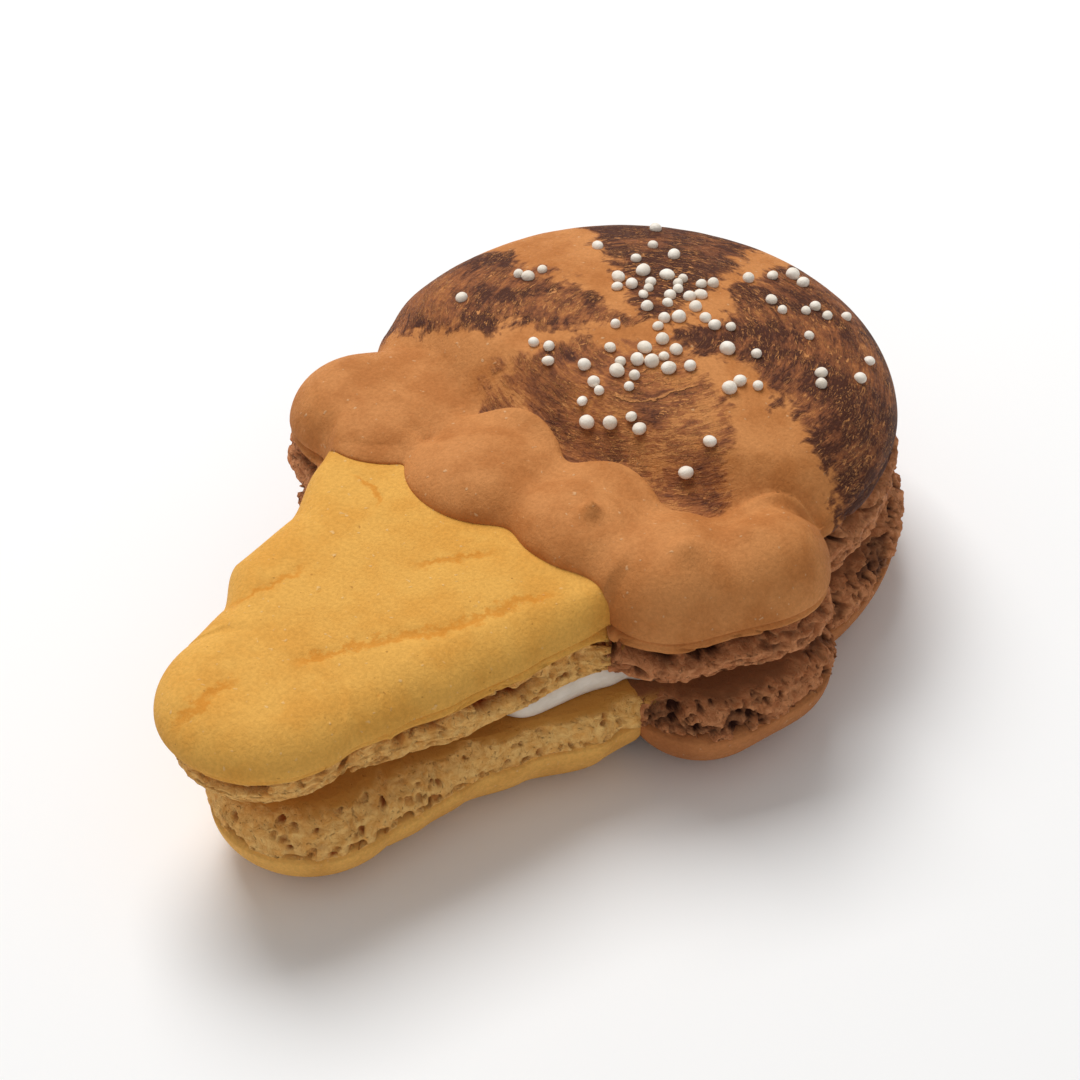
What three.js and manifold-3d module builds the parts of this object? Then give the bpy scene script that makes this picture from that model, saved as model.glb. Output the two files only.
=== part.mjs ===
// A french macaron piped in the shape of an ice cream cone, lying on its lower shell.
// Two almond shells, each piped from a brown scoop batter and a yellow cone batter, are
// joined by a thin layer of filling. White nonpareils are baked onto the upper scoop.
// Millimetres, +Z up. The scoop is at +Y, the tip of the cone at -Y.

import * as THREE from 'three';
import { mergeVertices } from 'three/addons/utils/BufferGeometryUtils.js';
import Module from 'manifold-3d';

// ---------------------------------------------------------------- driving dimensions, mm

// Heights, from a plane just under the edge of the upper skin.
const SKIN_LIP = 0.6;           // lower edge of the upper skin
const UPPER_FACE_Z = -3.7;      // flat underside of the upper shell
const LOWER_FACE_Z = -6.1;      // flat top of the lower shell
const LOWER_RIM_Z = -9.6;       // where the lower shell's foot meets its skin
const LOWER_BOTTOM_Z = -15.7;
const LOWER_ROLL = 8.0;         // width of the lower skin's rolled edge

// The upper skin's edge is slightly wavy. It is higher along the scoop's right side: by how
// much, the middle of that stretch and its spread as turns round the scoop in radians, the
// width of the band it takes, and the y where it starts and where it is whole.
const LIP_WAVE = 0.15;
const TALL_FOOT = { rise: 1.7, turn: 0.05, spread: 0.55, band: 1.3, from: 5.5, whole: 8 };

// Under the tip, as y goes from one value to the other, the lower skin's rim dips, the upper
// foot draws in and the filling stays further back.
const RIM_DIP = { by: 0.8, from: -20, whole: -34 };
const UNDERCUT = { by: 2.0, from: -24, whole: -42 };
const FILLING_BACK = { by: 4.4, from: -18, whole: -32 };

// The scoop's dome.
const DOME_EDGE = 5.3;          // height of the rolled edge
const DOME_CROWN = 5.0;         // rise from the rolled edge to the top
const DOME_ROLL = 5.5;          // width of the rolled edge at the back
const DOME_FRONT_ROLL = 16.0;   // and at the front, where the dome slopes to the lobes
const FRONT = { from: 11, whole: -1 };  // it widens between these y
const CROWN = { x: 0, y: 15.5, side: 28.0, back: 24.5, front: 27.0, least: -0.2 };

// The row of lobes along the scoop's front.
const SHELF_HEIGHT = 5.0;
const SHELF_ROLL = 5.0;
const SHELF = { from: 13, whole: 5 };   // it rises between these y
const LOBE_STEP = 0.6;          // crisp edge of a lobe over the dome behind it
const LOBE_STEP_ROLL = 0.8;
const LOBE_CROWN = 1.1;
const LEFT_CROWN = { by: 0.5, from: -4, whole: -14 };    // share lost to the left of these x
const LOBE_CROWN_ROLL = 6.0;
const LOBE_EDGE_ROLL = 3.0;     // both die out towards the scoop's edge
const LOBE_ROW = { from: -9, whole: -2 };   // and the crisp edge dies out left of these x
const LOBE_UNDER_SKIN = 0.2;    // their edge lies this far under the cone's skin

// The cone.
const CONE_EDGE = 3.3;
const CONE_CROWN = 0.7;
const CONE_ROLL = 4.2;          // width of the rolled edge
const CORNER_ROLL = { width: 2.0, from: -19, whole: -10 };   // narrower next to the lobes
const CONE_CROWN_ROLL = 13.0;
const CONE_TOP_Y = -5.0;        // the cone batter ends here, under the lobes
const CONE_TOP_BLEND = 2.5;     // its corners there are rounded
const CONE_SIDE_SLOPE = 0.96;   // distance to a side for each step across

// Plan of each shell. scoop: centre, half width, reach to the back and to the front, and the
// front of its dome. lobes: centre, half width, half length. creases: how far each notch
// between them is eased. tip: centre, radius. sides: y, half width to the left and to the
// right of the middle line.
const UPPER = {
  scoop: { x: -0.7, y: 11.9, side: 25.6, back: 27.8, front: 17.5, domeFront: 14.5 },
  lobes: [
    [-19.0, -2.6, 6.9, 7.1], [-14.0, -4.6, 6.2, 6.3], [-2.3, -5.1, 7.5, 6.6],
    [9.2, -4.95, 7.0, 5.95], [18.2, -4.2, 6.6, 6.9], [23.8, 2.4, 5.0, 5.8],
  ],
  creases: [0.8, 0.8, 2.2, 2.5, 4.9],
  tip: { x: 0.2, y: -36.4, r: 9.2 },
  sides: [
    [-46.0, 9.3, 9.1], [-36.4, 9.3, 9.1], [-31.2, 10.0, 10.7], [-26.4, 13.2, 12.5],
    [-18.8, 13.6, 14.6], [-12.5, 16.3, 16.2], [-8.0, 17.6, 17.0],
  ],
};
const LOWER = {
  scoop: { x: 0.0, y: 12.1, side: 26.2, back: 27.6, front: 17.5 },
  lobes: [
    [-18.5, -1.5, 7.6, 7.6], [-12.0, -3.6, 6.3, 6.3], [-1.5, -4.4, 7.2, 6.6],
    [10.0, -4.0, 6.6, 6.0], [21.0, -3.1, 7.2, 7.4], [22.8, 2.4, 6.8, 7.2],
  ],
  creases: [2.4, 2.4, 2.4, 2.4, 2.4],
  tip: { x: 2.2, y: -33.8, r: 8.7 },
  sides: [
    [-43.0, 8.7, 8.7], [-33.8, 8.7, 8.7], [-29.6, 9.1, 10.2], [-25.3, 10.7, 11.5],
    [-20.0, 12.9, 14.5], [-14.2, 15.9, 18.6], [-8.0, 17.2, 20.3],
  ],
};
// Tops of the lobes. The left one sinks into the dome, the others have a crisp edge over it.
const PADS = [
  [-17.5, -3.2, 8.4, 7.2], [-2.3, -5.2, 7.5, 6.9], [9.3, -5.2, 7.0, 6.9],
  [18.6, -5.1, 6.4, 6.9], [24.2, 1.6, 5.8, 7.2],
];

// How far valleys and corners are rounded: between the lobes' tops, between their shelf and
// the dome, between lobes and scoop at their edge, inside that edge, and between cone and
// scoop where the filling meets them.
const PAD_BLEND = 1.6;
const SHELF_BLEND = 1.2;
const LOBE_BLEND = 1.5;
const EASED_BLEND = 4.0;
const EASED_CREASE = 4.5;
const EASED_DEPTH = 2.5;
const CORNER_BLEND = 4.0;

// Foot profiles: share of the way from the skin's edge to the flat face, offset outwards.
const UPPER_FOOT = [[0.08, -0.75], [0.28, -0.35], [0.52, 0.1], [0.78, 0.15], [1, -0.8]];
const LOWER_FOOT = [[1, -1.8], [0.7, -0.2], [0.42, 0.1], [0.18, -0.25]];
const CRAG = 0.28;              // raggedness of the feet
const FREE_FROM = 0.7;          // the profile starts this far outside the other batter
const FREE_OVER = 2.0;          // and is whole this much further out

// Filling.
const FILLING_INSET = 3.2;      // set back from the edge of the shells
const FILLING_BULGE = 0.35;
// It is nearly flush with the edge along the cone's right shoulder: centre of that stretch,
// its half length and half width, its turn and the inset there.
const SHOWN = { x: 14.9, y: -15.8, along: 7.6, across: 5.0, turn: 1.0, inset: 0.4 };
const LEAST_STEEPNESS = 0.6;    // of its edge to the rays along which it is set back
const GAP = 0.3;                // clearance over and under the filling
const BATTER_GAP = 0.4;         // clearance between the scoop's batter and the cone's

// Nonpareils: each pinch is a centre, a spread along and across, its turn, how many there
// are and the seed of its draws.
const SPRINKLE_RADIUS = [0.46, 0.7];
const PINCHES = [
  { x: -0.4, y: 20.4, along: 3.6, across: 2.2, turn: -0.9, count: 18, seed: 1343 },
  { x: 3.4, y: 15.2, along: 4, across: 2.4, turn: 0.5, count: 11, seed: 2265 },
  { x: 2.4, y: 8.6, along: 2.8, across: 2.4, turn: 0.6, count: 12, seed: 3711 },
  { x: -5, y: 6.8, along: 1.3, across: 0.9, turn: -0.3, count: 3, seed: 4672 },
  { x: 5.6, y: 3.6, along: 2.2, across: 0.7, turn: 0.3, count: 4, seed: 5808 },
  { x: 13.7, y: 5, along: 1.2, across: 0.8, turn: 1.6, count: 2, seed: 6653 },
  { x: 4, y: 31, along: 3.5, across: 1.6, turn: 1.7, count: 4, seed: 7018 },
  { x: 10.2, y: 27.6, along: 3.4, across: 2.2, turn: 0.8, count: 7, seed: 8132 },
  { x: 16.8, y: 25.5, along: 3.6, across: 2, turn: 1.7, count: 4, seed: 9796 },
  { x: 12.4, y: 14.5, along: 2.4, across: 1, turn: 1.2, count: 3, seed: 10454 },
  { x: -15, y: 14.5, along: 3.4, across: 2.4, turn: 0.4, count: 4, seed: 11605 },
  { x: -8, y: 24.5, along: 5.4, across: 3, turn: 1.9, count: 9, seed: 12682 },
];
const EDGE_CLEARANCE = 2.5;     // they keep this far from the scoop's edge
const SPRINKLE_RISE = 0.35;     // a ball's centre above the skin, in radii
const FACETED_SIZE = 1.06;      // a faceted ball this much larger is as big as a round one

// Facets.
const SCOOP_COLUMNS = 84;
const CONE_COLUMNS = 56;
const LOWER_COLUMNS = 60;
const FILLING_COLUMNS = 72;

// ---------------------------------------------------------------- plan

const clamp = THREE.MathUtils.clamp;
const smooth = THREE.MathUtils.smoothstep;

// Larger of two heights or distances, rounded over where they are within k of each other.
function blendMax(a, b, k) {
  const h = clamp(0.5 + 0.5 * (a - b) / k, 0, 1);
  return b + (a - b) * h + k * h * (1 - h);
}

const blendMin = (a, b, k) => -blendMax(-a, -b, k);

// Quarter circle: 0 at the edge, 1 where the roll meets the top.
function roll(share) {
  const s = 1 - clamp(share, 0, 1);
  return Math.sqrt(Math.max(0, 1 - s * s));
}

// Distance inside an ellipse, measured along the ray from its centre.
function insideEllipse(x, y, cx, cy, rx, ry) {
  const dx = x - cx;
  const dy = y - cy;
  const ray = Math.hypot(dx, dy) + 1e-9;
  return ray / (Math.hypot(dx / rx, dy / ry) + 1e-9) - ray;
}

function insideScoop(x, y, { scoop }, front = scoop.front) {
  return insideEllipse(x, y, scoop.x, scoop.y, scoop.side, y > scoop.y ? scoop.back : front);
}

const insideLobes = (x, y, { lobes }, creases) => lobes
  .map(([cx, cy, rx, ry]) => insideEllipse(x, y, cx, cy, rx, ry))
  .reduce((a, b, i) => blendMax(a, b, creases[i - 1]));

const insideBrown = (x, y, shell) =>
  blendMax(insideScoop(x, y, shell), insideLobes(x, y, shell, shell.creases), LOBE_BLEND);

// The same distance with the creases between the lobes eased out away from the edge.
function insideBrownEased(x, y, shell) {
  const edge = insideBrown(x, y, shell);
  const creases = shell.creases.map((crease) => Math.max(crease, EASED_CREASE));
  const lobes = insideLobes(x, y, shell, creases);
  const eased = blendMax(insideScoop(x, y, shell), lobes, EASED_BLEND);
  return edge + (eased - edge) * smooth(edge, 0, EASED_DEPTH);
}

// Half widths of the cone at y, eased between the listed stations.
function coneSides(y, { sides }) {
  const i = clamp(sides.findIndex((s) => s[0] > y), 1, sides.length - 1);
  const [y0, l0, r0] = sides[i - 1];
  const [y1, l1, r1] = sides[i];
  const t = clamp((y - y0) / (y1 - y0), 0, 1);
  const ease = 0.5 * t + 0.5 * t * t * (3 - 2 * t);
  return [l0 + (l1 - l0) * ease, r0 + (r1 - r0) * ease];
}

function insideCone(x, y, shell) {
  const { tip } = shell;
  const [left, right] = coneSides(y, shell);
  const middle = tip.x * clamp((y + 10) / (tip.y + 10), 0, 1);
  const side = CONE_SIDE_SLOPE * (x > middle ? right - (x - middle) : left + (x - middle));
  const body = Math.min(blendMin(side, CONE_TOP_Y - y, CONE_TOP_BLEND), y - tip.y);
  return Math.max(body, tip.r - Math.hypot(x - tip.x, y - tip.y));
}

const insideYellow = (x, y, shell) =>
  Math.min(insideCone(x, y, shell), -insideBrown(x, y, shell) - BATTER_GAP);

// Distance inside cone and scoop together, with the corners between them rounded.
const insideJoined = (x, y, shell) =>
  blendMax(insideCone(x, y, shell), insideBrown(x, y, shell), CORNER_BLEND);

// ---------------------------------------------------------------- heights

// Edge of the upper skin: higher where the foot stands tall, and slightly wavy.
function lipHeight(x, y) {
  const dx = x - UPPER.scoop.x;
  const dy = y - UPPER.scoop.y;
  const turn = Math.atan2(dy, dx);
  const right = Math.exp(-(((turn - TALL_FOOT.turn) / TALL_FOOT.spread) ** 2));
  const far = smooth(Math.hypot(dx, dy), UPPER.scoop.side - TALL_FOOT.band, UPPER.scoop.side);
  const back = smooth(y, TALL_FOOT.from, TALL_FOOT.whole);
  return SKIN_LIP + TALL_FOOT.rise * right * far * back + LIP_WAVE * Math.sin(3 * turn + 1);
}

function coneHeight(x, y) {
  const inside = insideCone(x, y, UPPER);
  const rise = CONE_EDGE - SKIN_LIP + CONE_CROWN * roll(inside / CONE_CROWN_ROLL);
  const corner = smooth(y, CORNER_ROLL.from, CORNER_ROLL.whole);
  const width = CONE_ROLL + (CORNER_ROLL.width - CONE_ROLL) * corner;
  return SKIN_LIP + roll(inside / width) * rise;
}

function crownHeight(x, y) {
  const reach = y > CROWN.y ? CROWN.back : CROWN.front;
  const out = ((x - CROWN.x) / CROWN.side) ** 2 + ((y - CROWN.y) / reach) ** 2;
  return DOME_EDGE + DOME_CROWN * Math.max(1 - out, CROWN.least);
}

// Crisp, crowned tops of the lobes: a short roll and a long one.
function padHeight(x, y) {
  const inside = PADS
    .map(([cx, cy, rx, ry]) => LOBE_CROWN_ROLL * (1 - Math.hypot((x - cx) / rx, (y - cy) / ry)))
    .reduce((a, b) => blendMax(a, b, PAD_BLEND));
  const step = LOBE_STEP * roll(inside / LOBE_STEP_ROLL) * smooth(x, LOBE_ROW.from, LOBE_ROW.whole);
  const left = LEFT_CROWN.by * smooth(-x, -LEFT_CROWN.from, -LEFT_CROWN.whole);
  return step + LOBE_CROWN * (1 - left) * roll(inside / LOBE_CROWN_ROLL);
}

// Upper scoop: the dome, the shelf of lobes at its front, and the lobes' tops.
function scoopHeight(x, y) {
  const inside = insideBrownEased(x, y, UPPER);
  const overCone = clamp(insideCone(x, y, UPPER), 0, 1);
  const lip = lipHeight(x, y);
  const edge = lip + overCone * Math.max(coneHeight(x, y) - LOBE_UNDER_SKIN - lip, 0);
  const front = smooth(-y, -FRONT.from, -FRONT.whole);
  const width = DOME_ROLL + (DOME_FRONT_ROLL - DOME_ROLL) * front;
  const domeInside = insideScoop(x, y, UPPER, UPPER.scoop.domeFront);
  const dome = edge + roll(domeInside / width) * (crownHeight(x, y) - edge);
  const shelfRise = (SHELF_HEIGHT - edge) * smooth(-y, -SHELF.from, -SHELF.whole);
  const shelf = edge + roll(inside / SHELF_ROLL) * shelfRise;
  return blendMax(dome, shelf, SHELF_BLEND) + padHeight(x, y) * roll(inside / LOBE_EDGE_ROLL);
}

// How much of a change towards the tip there is at y.
const tipward = (y, { by, from, whole }) => by * smooth(-y, -from, -whole);

// Rim of the lower skin, and the skin below it.
const lowerRim = (x, y) => LOWER_RIM_Z - tipward(y, RIM_DIP);

function lowerHeight(x, y, inside) {
  const rim = lowerRim(x, y);
  return rim + (LOWER_BOTTOM_Z - rim) * roll(inside / LOWER_ROLL);
}

// Ragged relief of the feet, in -1 to 1.
const crags = (x, y, z) =>
  0.5 * Math.sin(1.9 * x + 1.3 * z) * Math.cos(2.3 * y - z)
  + 0.5 * Math.sin(1.1 * x - 1.7 * y + 2.1 * z);

// ---------------------------------------------------------------- closed surfaces

// Distance from the centre to the outline along a ray, by halving the step.
function outlineRadius(inside, centre, turn) {
  const [ux, uy] = [Math.cos(turn), Math.sin(turn)];
  const at = (r) => inside(centre[0] + r * ux, centre[1] + r * uy);
  let low = 1;
  while (at(low + 0.25) > 0) low += 0.25;
  let high = low + 0.25;
  for (let i = 0; i < 24; i += 1) {
    const middle = (low + high) / 2;
    if (at(middle) > 0) low = middle;
    else high = middle;
  }
  return low;
}

// Points of the outline, with their outward normals. The columns crowd towards -Y.
function outline(inside, centre, columns, crowd) {
  const points = Array.from({ length: columns }, (_, i) => {
    const u = (2 * Math.PI * i) / columns;
    const turn = u - crowd * Math.cos(u);
    const r = outlineRadius(inside, centre, turn);
    return [centre[0] + r * Math.cos(turn), centre[1] + r * Math.sin(turn)];
  });
  return points.map(([x, y], i) => {
    const before = points[(i + columns - 1) % columns];
    const after = points[(i + 1) % columns];
    const normal = new THREE.Vector2(after[1] - before[1], before[0] - after[0]).normalize();
    return { x, y, nx: normal.x, ny: normal.y };
  });
}

// Body through rings of points, listed from the top ring to the bottom one, closed by
// a point in the middle of each end.
function ringBody(rings, topPoint, bottomPoint) {
  const columns = rings[0].length;
  const positions = [topPoint, ...rings.flat(), bottomPoint].flat();
  const index = [];
  const at = (row, i) => 1 + row * columns + (i % columns);
  const last = 1 + rings.length * columns;
  for (let i = 0; i < columns; i += 1) {
    index.push(0, at(0, i), at(0, i + 1));
    for (let row = 0; row + 1 < rings.length; row += 1) {
      const [a, b] = [at(row, i), at(row, i + 1)];
      const [d, c] = [at(row + 1, i), at(row + 1, i + 1)];
      index.push(a, d, c, a, c, b);
    }
    index.push(last, at(rings.length - 1, i + 1), at(rings.length - 1, i));
  }
  const geometry = new THREE.BufferGeometry();
  geometry.setAttribute('position', new THREE.Float32BufferAttribute(positions, 3));
  geometry.setIndex(index);
  return geometry;
}

// Rings of a skin between its centre and its edge, closer together towards the edge.
const skinRings = (edge, centre, count, height) => Array.from({ length: count }, (_, i) => {
  const q = 1 - (1 - (i + 1) / count) ** 1.7;
  return edge.map(({ x, y }) => {
    const px = centre[0] + q * (x - centre[0]);
    const py = centre[1] + q * (y - centre[1]);
    return [px, py, height(px, py)];
  });
});

// Rings of a foot. free is 0 where the edge meets the neighbouring batter. undercut is 1 for
// the foot that draws in under the tip.
const footRings = (edge, profile, rim, face, free, undercut = 0) =>
  profile.map(([share, offset]) => edge.map(({ x, y, nx, ny }) => {
    const rimHere = rim(x, y);
    const z = rimHere + (face - rimHere) * share;
    const ragged = share < 1 ? CRAG * crags(x, y, z) : 0;
    const out = free(x, y) * (offset + ragged - undercut * tipward(y, UNDERCUT) * share);
    return [x + nx * out, y + ny * out, z];
  }));

const freeOf = (inside, shell) => (x, y) =>
  clamp((-inside(x, y, shell) - FREE_FROM) / FREE_OVER, 0, 1);

// ---------------------------------------------------------------- pieces

const SCOOP_CENTRE = [0, 9];
const CONE_CENTRE = [1, -21];

function upperScoop() {
  const edge = outline((x, y) => insideBrown(x, y, UPPER), SCOOP_CENTRE, SCOOP_COLUMNS, 0.3);
  const skin = skinRings(edge, SCOOP_CENTRE, 16, scoopHeight);
  const free = freeOf(insideCone, UPPER);
  const foot = footRings(edge, UPPER_FOOT, scoopHeight, UPPER_FACE_Z, free);
  const [x, y] = SCOOP_CENTRE;
  return ringBody([...skin, ...foot], [x, y, scoopHeight(x, y)], [x, y, UPPER_FACE_Z]);
}

function upperCone() {
  const edge = outline((x, y) => insideYellow(x, y, UPPER), CONE_CENTRE, CONE_COLUMNS, -0.35);
  const skin = skinRings(edge, CONE_CENTRE, 8, coneHeight);
  const free = freeOf(insideBrown, UPPER);
  const foot = footRings(edge, UPPER_FOOT, coneHeight, UPPER_FACE_Z, free, 1);
  const [x, y] = CONE_CENTRE;
  return ringBody([...skin, ...foot], [x, y, coneHeight(x, y)], [x, y, UPPER_FACE_Z]);
}

function lowerPiece(inside, depthInside, otherInside, centre, crowd) {
  const edge = outline((x, y) => inside(x, y, LOWER), centre, LOWER_COLUMNS, crowd);
  const height = (x, y) => lowerHeight(x, y, depthInside(x, y, LOWER));
  const free = freeOf(otherInside, LOWER);
  const foot = footRings(edge, LOWER_FOOT, lowerRim, LOWER_FACE_Z, free);
  const skin = skinRings(edge, centre, 8, height).reverse();
  const [x, y] = centre;
  return ringBody([...foot, ...skin], [x, y, LOWER_FACE_Z], [x, y, height(x, y)]);
}

// The filling reaches nearly to the edge along the right shoulder and stays back elsewhere.
function fillingInset(x, y) {
  const [ux, uy] = [Math.cos(SHOWN.turn), Math.sin(SHOWN.turn)];
  const along = ((x - SHOWN.x) * ux + (y - SHOWN.y) * uy) / SHOWN.along;
  const across = ((y - SHOWN.y) * ux - (x - SHOWN.x) * uy) / SHOWN.across;
  const shown = Math.exp(-(along ** 4) - across ** 2);
  return FILLING_INSET + (SHOWN.inset - FILLING_INSET) * shown + tipward(y, FILLING_BACK);
}

// A point of the shells' joined edge, set back along its ray from the filling's centre.
function setBack({ x, y, nx, ny }, centre) {
  const ray = new THREE.Vector2(x - centre[0], y - centre[1]).normalize();
  const steepness = Math.max(ray.x * nx + ray.y * ny, LEAST_STEEPNESS);
  const step = fillingInset(x, y) / steepness;
  return { x: x - ray.x * step, y: y - ray.y * step, ray };
}

function filling() {
  const centre = [0, -4];
  const inside = (x, y) => Math.min(insideJoined(x, y, UPPER), insideJoined(x, y, LOWER));
  const edge = outline(inside, centre, FILLING_COLUMNS, 0).map((point) => setBack(point, centre));
  const [top, bottom] = [UPPER_FACE_Z - GAP, LOWER_FACE_Z + GAP];
  const rings = [[0, top], [FILLING_BULGE, (top + bottom) / 2], [0, bottom]].map(([out, z]) =>
    edge.map(({ x, y, ray }) => [x + ray.x * out, y + ray.y * out, z]));
  return ringBody(rings, [...centre, top], [...centre, bottom]);
}

// ---------------------------------------------------------------- nonpareils

// Repeatable draw in 0 to 1 for a whole number: the tail of a large sine.
function draw(n) {
  const value = Math.sin(n * 12.9898 + 78.233) * 43758.5453;
  return value - Math.floor(value);
}

// Where the nonpareils lie: pinches scattered over the scoop, none on top of another.
function sprinkles() {
  const placed = [];
  PINCHES.forEach((pinch) => {
    let found = 0;
    for (let n = 0; n < 400 && found < pinch.count; n += 1) {
      const seed = pinch.seed + 4 * n;
      const reach = Math.sqrt(-1.2 * Math.log(1 - 0.96 * draw(seed)));
      const turn = 2 * Math.PI * draw(seed + 1);
      const along = pinch.along * reach * Math.cos(turn);
      const across = pinch.across * reach * Math.sin(turn);
      const x = pinch.x + along * Math.cos(pinch.turn) - across * Math.sin(pinch.turn);
      const y = pinch.y + along * Math.sin(pinch.turn) + across * Math.cos(pinch.turn);
      const r = SPRINKLE_RADIUS[0]
        + (SPRINKLE_RADIUS[1] - SPRINKLE_RADIUS[0]) * draw(seed + 2) ** 1.5;
      const onTop = insideScoop(x, y, UPPER) > EDGE_CLEARANCE && padHeight(x, y) < 0.05;
      const clear = placed.every((s) => Math.hypot(s.x - x, s.y - y) > 0.98 * (s.r + r));
      if (onTop && clear) {
        placed.push({ x, y, r, flat: 0.8 + 0.2 * draw(seed + 3) });
        found += 1;
      }
    }
  });
  return placed;
}

// One nonpareil: a slightly flattened ball sunk a third of its height into the skin.
function sprinkle({ x, y, r, flat }) {
  const geometry = new THREE.OctahedronGeometry(r * FACETED_SIZE, 1);
  geometry.scale(1, 1, flat);
  geometry.rotateZ(5 * x);
  geometry.translate(x, y, scoopHeight(x, y) + SPRINKLE_RISE * r);
  return geometry;
}

const wasm = await Module();
wasm.setup();

function toSolid(geometry) {
  const bare = geometry.clone();
  bare.deleteAttribute('normal');
  bare.deleteAttribute('uv');
  const merged = mergeVertices(bare, 1e-4);
  return new wasm.Manifold(new wasm.Mesh({
    numProp: 3,
    vertProperties: new Float32Array(merged.attributes.position.array),
    triVerts: new Uint32Array(merged.index.array),
  }));
}

function toGeometry(solid) {
  const mesh = solid.getMesh();
  const geometry = new THREE.BufferGeometry();
  geometry.setAttribute('position', new THREE.BufferAttribute(mesh.vertProperties, 3));
  geometry.setIndex(new THREE.BufferAttribute(mesh.triVerts, 1));
  return geometry;
}

// ---------------------------------------------------------------- assembly

const brown = { color: 0xb98552, roughness: 0.72, metalness: 0 };
const yellow = { color: 0xe2aa54, roughness: 0.75, metalness: 0 };
const cream = { color: 0xd9d2c8, roughness: 0.5, metalness: 0 };

function piece(name, geometry, finish) {
  const mesh = new THREE.Mesh(geometry, new THREE.MeshStandardMaterial(finish));
  mesh.name = name;
  return mesh;
}

const toppedScoop = sprinkles().map(sprinkle).map(toSolid)
  .reduce((solid, ball) => solid.add(ball), toSolid(upperScoop()));

const macaron = new THREE.Group();
macaron.add(
  piece('upper_scoop', toGeometry(toppedScoop), brown),
  piece('upper_cone', upperCone(), yellow),
  piece('filling', filling(), cream),
  piece('lower_scoop', lowerPiece(insideBrown, insideBrown, insideCone, SCOOP_CENTRE, 0.5), brown),
  piece('lower_cone', lowerPiece(insideYellow, insideCone, insideBrown, CONE_CENTRE, -0.4), yellow),
);

// The origin is at the middle of the macaron's footprint, on the surface it lies on.
const box = new THREE.Box3().setFromObject(macaron);
const middle = box.getCenter(new THREE.Vector3());
macaron.position.set(-middle.x, -middle.y, -box.min.z);
macaron.updateMatrixWorld(true);

export default macaron;
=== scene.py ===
"""A french macaron piped in the shape of an ice cream cone, dressed for the studio.

Two baked almond shells, one above and one below, each piped from a brown scoop batter and a
yellow cone batter, are joined by a thin layer of filling. Every shape is worked out in
millimetres on the drawing's axes: the scoop at +Y, the cone's tip at -Y, and z = 0 just under
the edge of the upper skin.
"""

import bpy
import math
import numpy as np
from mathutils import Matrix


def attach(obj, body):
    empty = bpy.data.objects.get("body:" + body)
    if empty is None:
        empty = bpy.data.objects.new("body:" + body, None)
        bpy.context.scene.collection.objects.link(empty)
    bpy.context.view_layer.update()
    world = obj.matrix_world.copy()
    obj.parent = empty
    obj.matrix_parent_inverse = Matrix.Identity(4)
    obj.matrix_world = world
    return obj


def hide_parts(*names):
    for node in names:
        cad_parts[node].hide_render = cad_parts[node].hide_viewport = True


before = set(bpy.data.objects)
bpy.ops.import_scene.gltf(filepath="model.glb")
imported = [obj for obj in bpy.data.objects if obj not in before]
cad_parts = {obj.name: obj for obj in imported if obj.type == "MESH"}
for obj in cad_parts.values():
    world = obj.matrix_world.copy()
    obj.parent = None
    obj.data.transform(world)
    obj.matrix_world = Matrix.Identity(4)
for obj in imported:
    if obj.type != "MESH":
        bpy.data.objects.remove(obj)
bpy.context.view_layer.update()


# ------------------------------ upper scoop shell
# The scoop of ice cream: cocoa macaron batter piped as a wide dome with a row of lobes along
# its front. Baking lifts its smooth skin on a ragged foot of open sponge. Dark chocolate is
# brushed over the dome in four sweeps around its middle.

DRAWING_ZERO = np.array([-1.5699, 2.7829, 15.7])    # where the drawing's zero is in the frame, mm

UPPER_FACE_Z = -3.7         # flat underside
SKIN_LIP = 0.6              # lower edge of the skin
TALL_FOOT = 1.7             # how much higher that edge sits along the right side

DOME_EDGE = 5.3             # height of the rolled edge
DOME_CROWN = 5.0            # rise from there to the top
DOME_ROLL = 5.5             # width of the rolled edge at the back
DOME_FRONT_ROLL = 16.0      # and at the front, where the dome slopes to the lobes
CROWN = dict(x=0.0, y=15.5, side=28.0, back=24.5, front=27.0)   # its top, and reach from there
SHELF_HEIGHT = 5.0          # the row of lobes
SHELF_ROLL = 5.0
LOBE_STEP = 0.6             # crisp edge of a lobe over the dome behind it
LOBE_CROWN = 1.1
LEFT_CROWN = 0.5            # share of it that the left lobe has
PAD_BLEND = 1.6             # how far the valleys between their tops are eased

# Plan. scoop: centre, half width, reach to the back and to the front. lobes: centre, half
# width, half length. creases: how far each notch between them is eased. tip: centre and
# radius. sides: y, half width to the left and to the right of the middle line.
UPPER = dict(
    scoop=dict(x=-0.7, y=11.9, side=25.6, back=27.8, front=17.5),
    dome_front=14.5,
    lobes=[
        (-19.0, -2.6, 6.9, 7.1), (-14.0, -4.6, 6.2, 6.3), (-2.3, -5.1, 7.5, 6.6),
        (9.2, -4.95, 7.0, 5.95), (18.2, -4.2, 6.6, 6.9), (23.8, 2.4, 5.0, 5.8),
    ],
    creases=(0.8, 0.8, 2.2, 2.5, 4.9),
    tip=(0.2, -36.4, 9.2),
    sides=[
        (-46.0, 9.3, 9.1), (-36.4, 9.3, 9.1), (-31.2, 10.0, 10.7), (-26.4, 13.2, 12.5),
        (-18.8, 13.6, 14.6), (-12.5, 16.3, 16.2), (-8.0, 17.6, 17.0),
    ],
)
CONE_TOP_Y = -5.0           # the cone batter ends here, under the lobes
# Tops of the lobes. The left one sinks into the dome, the others have a crisp edge over it.
PADS = [
    (-17.5, -3.2, 8.4, 7.2), (-2.3, -5.2, 7.5, 6.9), (9.3, -5.2, 7.0, 6.9), (18.6, -5.1, 6.4, 6.9),
    (24.2, 1.6, 5.8, 7.2),
]
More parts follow.
